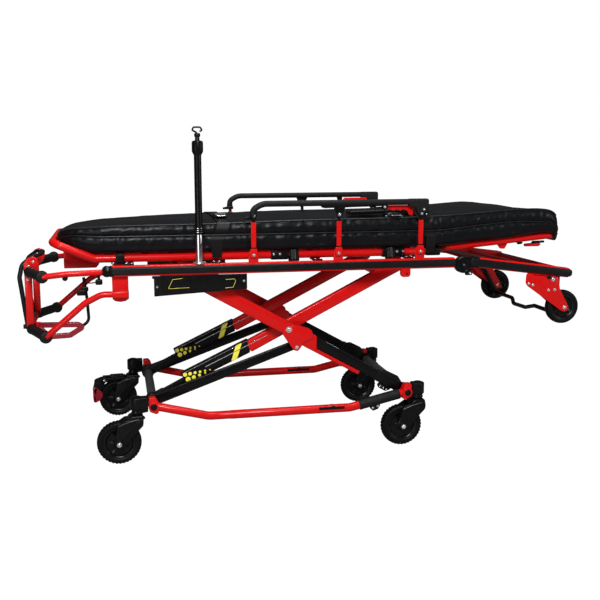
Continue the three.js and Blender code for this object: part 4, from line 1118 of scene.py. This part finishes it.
def smooth(*knots):
    """A curve through (x, value) knots that never overshoots them."""
    xs, values = zip(*knots)
    rates = [(b - a) / (q - p) for p, q, a, b in zip(xs, xs[1:], values, values[1:])]
    slopes = [0] + [2 * a * b / (a + b) if a * b > 0 else 0 for a, b in zip(rates, rates[1:])] + [0]

    def at(x):
        x = min(max(x, xs[0]), xs[-1])
        i = min(sum(x > knot for knot in xs[1:]), len(xs) - 2)
        width = xs[i + 1] - xs[i]
        t = (x - xs[i]) / width
        return (
            values[i] * (1 + 2 * t) * (1 - t) ** 2 + values[i + 1] * t * t * (3 - 2 * t)
            + width * (slopes[i] * t * (1 - t) ** 2 - slopes[i + 1] * t * t * (1 - t)))
    return at


# The pad's shape by X: top edge, middle of the top, underside, half width, side seam, and how far the far side sags.
PAD_X = (-851, 939)
SHOULDER_PAD_X = (150, 392)
CREASE_X = 462
pad_edge = smooth((-851, 777), (-836, 790), (-800, 799), (-750, 803), (-700, 805), (-640, 807), (-382, 809),
                  (-39, 817), (320, 821), (469, 825), (620, 835), (774, 845), (830, 846), (876, 843), (905, 834),
                  (926, 814), (939, 786))
pad_crown = smooth((-851, 778), (-801, 794), (-750, 803), (-713, 809), (-643, 815), (-572, 819), (-331, 823),
                   (300, 832), (469, 838), (620, 850), (700, 855), (780, 846), (861, 837), (912, 817), (939, 787))
pad_floor = smooth((-851, 758), (-842, 745), (-800, 731), (-728, 714.5), (-700, 713.5), (440, 713.5), (500, 718),
                   (620, 729), (740, 739.5), (800, 748), (870, 757), (910, 754), (926, 736), (939, 724))
pad_half = smooth((-851, 178), (-842, 208), (-800, 240), (-750, 257), (-700, 265), (-640, 268), (-600, 268),
                  (888, 268), (922, 261), (939, 242))
pad_seam = smooth((-851, 768), (-800, 776), (-700, 772), (440, 774), (620, 790), (774, 801), (893, 797), (939, 756))
pad_far_sag = smooth((-851, 14), (-800, 24), (-700, 16), (-600, 9), (-400, 7), (-200, 4), (0, 0), (760, 0), (860, 8),
                     (939, 6))


def ridges(x, y, z):
    """Noise with narrow crests, like creased vinyl."""
    return 1 - abs(2 * noise.noise(Vector((x, y, z)))) * 1.6


def pad_wrinkle(x, y, z, top):
    """How far the cover stands off its smooth shape, in millimetres."""
    seed = 7.3 if y > 0 else 0
    slack = 0.5 + 0.9 * max(0, noise.noise(Vector((x / 230, seed, 3.1))))
    if top:
        lumps = 4.5 * noise.noise(Vector((x / 190, y / 120, 1.7)))
        creases = 1.5 * slack * ridges(x / 85 + y / 260, y / 70, 9)
        fold = -9 * math.exp(-((x - CREASE_X - 0.03 * y) / 13) ** 2) + 4 * math.exp(-((x - 436) / 15) ** 2)
        edge = math.exp(-((pad_half(x) - abs(y)) / 14) ** 2)
        pucker = 0.8 * noise.noise(Vector((x / 11, seed, 0)))
        return (lumps + creases) * (1 - edge) + fold + pucker * edge
    seam = z - pad_seam(x)
    upright = 3.4 * slack * ridges(x / 34, z / 210, seed + 2)
    slanted = 2.4 * slack * ridges(x / 52 - z / 60, z / 90, seed + 5)
    slanted += 1.1 * ridges(x / 19, z / 40, seed + 8)
    near_seam = math.exp(-abs(seam) / 10)
    pucker = 1.0 * noise.noise(Vector((x / 9, z / 30, seed))) * near_seam
    groove = -2.6 * math.exp(-(seam / 4) ** 2)
    return upright + slanted - 2 + pucker + groove


def pad_section(x):
    """The pad's outline at one station: (point, outward direction) from the middle of its floor round by the near
    side, over the top and back by the far side."""
    half, floor, seam = pad_half(x), pad_floor(x), pad_seam(x)
    edge, crown = pad_edge(x), pad_crown(x)
    r = min(24, 0.8 * (seam - floor))
    low = floor + r
    flat = [(half * i / 8 * (1 - r / half), floor, "down") for i in range(8)]
    corner = [
        (half - r + r * math.sin(t), floor + r - r * math.cos(t), "down")
        for t in (math.pi / 2 * i / 5 for i in range(5))]
    lower = [(half + 5 * math.sin(math.pi * t), low + (seam - low) * t, "side") for t in (i / 7 for i in range(7))]
    upper = [
        (half + 6 * math.sin(math.pi * t), seam + (edge - 4 - seam) * t, "side") for t in (i / 8 for i in range(8))]
    lip = [(half - 0.5, edge - 3, "side"), (half - 4, edge, "top")]
    span = half - 6
    top = [
        (span * (1 - t), edge + (crown - edge) * (1 - (1 - t) ** 2) ** 0.8, "top")
        for t in (i / 14 for i in range(1, 15))]
    found = flat + corner + lower + upper + lip + top
    ring = []
    for sign, run in ((-1, found), (1, found[-2:0:-1])):
        for y, z, face in run:
            out = {"down": Vector((0, 0, -1)), "side": Vector((0, sign, 0)), "top": Vector((0, 0, 1))}[face]
            lift = 0 if face == "down" else pad_wrinkle(x, sign * y, z, face == "top")
            ends = min(1, (x - PAD_X[0]) / 25, (PAD_X[1] - x) / 25)
            if sign > 0:
                z -= pad_far_sag(x) * (y / half) ** 2 * (z - floor) / (edge - floor)
            ring.append((Vector((x, sign * y, z)) + out * lift * max(ends, 0), out))
    return ring


def crease_blend(shown):
    """Bakes a piece's transform into its mesh. It does not bend the piece across the crease between the litter and
    the backrest.
    """
    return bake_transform(shown)


def mattress():
    step = 6
    count = round((PAD_X[1] - PAD_X[0]) / step)
    stations = [PAD_X[0] + (PAD_X[1] - PAD_X[0]) * i / count for i in range(count + 1)]
    sections = [pad_section(x) for x in stations]
    rings = [[point for point, _ in section] for section in sections]
    for end, out in ((0, -1), (-1, 1)):
        middle = sum(rings[end], Vector()) / len(rings[end])
        caps = []
        for share, push in ((0.96, 1.6), (0.85, 2.6), (0.6, 3.2)):
            caps.append([middle + (p - middle) * share + Vector((out * push, 0, 0)) for p in rings[end]])
        rings = caps[::-1] + rings if end == 0 else rings + caps
    pad = Piece("mattress_shown", None, "vinyl", "mattress_main", "mattress_back", "mattress_fold")
    pad.add(VINYL, shell(rings))
    for sign in (-1, 1):
        droop = pad_far_sag if sign > 0 else lambda x: 0
        level = lambda x: droop(x) * (pad_seam(x) - pad_floor(x)) / (pad_edge(x) - pad_floor(x))
        piping = [(x, sign * (pad_half(x) - 1.2), pad_edge(x) - 0.5 - droop(x)) for x in stations[1:-3]]
        welt = [(x, sign * (pad_half(x) + 0.6), pad_seam(x) - level(x)) for x in stations[2:-3]]
        pad.add(PIPING, sweep(piping, circle(2.6, 8)), sweep(welt, circle(2.0, 8)))
    shown = pad.done()
    crease_blend(shown)


def strap(piece, x_low, x_high, width, tail=694):
    """A webbing strap over the pad, from the litter tube on the near side to the one on the far side."""
    total = len(pad_section(0))
    middle = next(i for i, (p, out) in enumerate(pad_section(0)) if i > 20 and abs(p.y) < 1)
    first = 16
    rings = []

    def station(x_mid, y, z, out, lift, spread):
        half = width / 2 * spread
        at = Vector((x_mid, y, z)) + out * lift
        rings.append([
            at + Vector((-half, 0, 0)) + out * 1.1, at + Vector((half, 0, 0)) + out * 1.1,
            at + Vector((half, 0, 0)) - out * 1.1, at + Vector((-half, 0, 0)) - out * 1.1])

    out = Vector((0, -1, 0))
    station(x_low, -262, tail, out, 0, 0.75)
    station(x_low, -264, tail + 14, out, 0, 0.8)
    for i in range(first, total - first + 1):
        t = min(1, max(0, (total - first - i if i > middle else i - first) / 12))
        x = x_low + (x_high - x_low) * t
        section = pad_section(x)
        point, out = section[i]
        face = section[i][1].copy()
        if abs(section[i - 1][1].dot(face)) < 0.5 or abs(section[(i + 1) % total][1].dot(face)) < 0.5:
            face = (section[i - 1][1] + section[(i + 1) % total][1] + face).normalized()
        station(x, point.y, point.z, face, 3.4 + 0.5 * math.sin(i * 0.9), 1)
    out = Vector((0, 1, 0))
    station(x_low, 264, tail + 14, out, 0, 0.8)
    station(x_low, 262, tail, out, 0, 0.75)
    piece.add(WEBBING, shell(rings))


def restraints():
    belts = Piece("restraint_straps", None, "webbing")
    strap(belts, -326, -302, 42)
    strap(belts, 436, 402, 40)
    low, high = SHOULDER_PAD_X
    lift = pad_crown(low) - 3
    for y in (-196, 196):
        shape = [(low, lift + 4), (high, lift + 10), (high, lift + 24), (low, lift + 17)]
        belts.plate(WEBBING, shape, (y - 30, y + 30), 5, 5)
        for i in range(11):
            at = low + 12 + i * (high - low - 24) / 10
            rib = (lift + 12, lift + 21 + 0.6 * i)
            belts.box(PIPING, (at - 2, at + 2), (y - 27, y + 27), rib, corner=1.5, axis="y")
    crease_blend(belts.done())

    buckles = Piece("restraint_buckles", "litter", "buckle")
    for x, y, top in ((-302, -150, 829), (300, -232, 829)):
        buckles.box(BUCKLE, (x - 24, x + 24), (y - 34, y + 34), (top - 4, top + 9), 3, 8, axis="z")
        buckles.box(CHROME, (x - 17, x + 17), (y - 58, y - 28), (top, top + 4), 1.2, 4, axis="z")
        buckles.box(CHROME, (x - 19, x + 19), (y + 28, y + 44), (top, top + 5), 1.5, 5, axis="z")
    for x in (274, 288, 316, 330):
        buckles.box(CHROME, (x - 4, x + 5), (-262, -244), (824, 829.5), 1.2, 2, axis="z")
    buckles.done()


studio()
base()
brake_pedal()
legs()
for label, side in SIDES:
    rail(side, label)
    side_rail(side, label)
litter_frame()
foot_frame()
release_handle()
head_section()
drip_pole()
backrest()

mattress()
restraints()
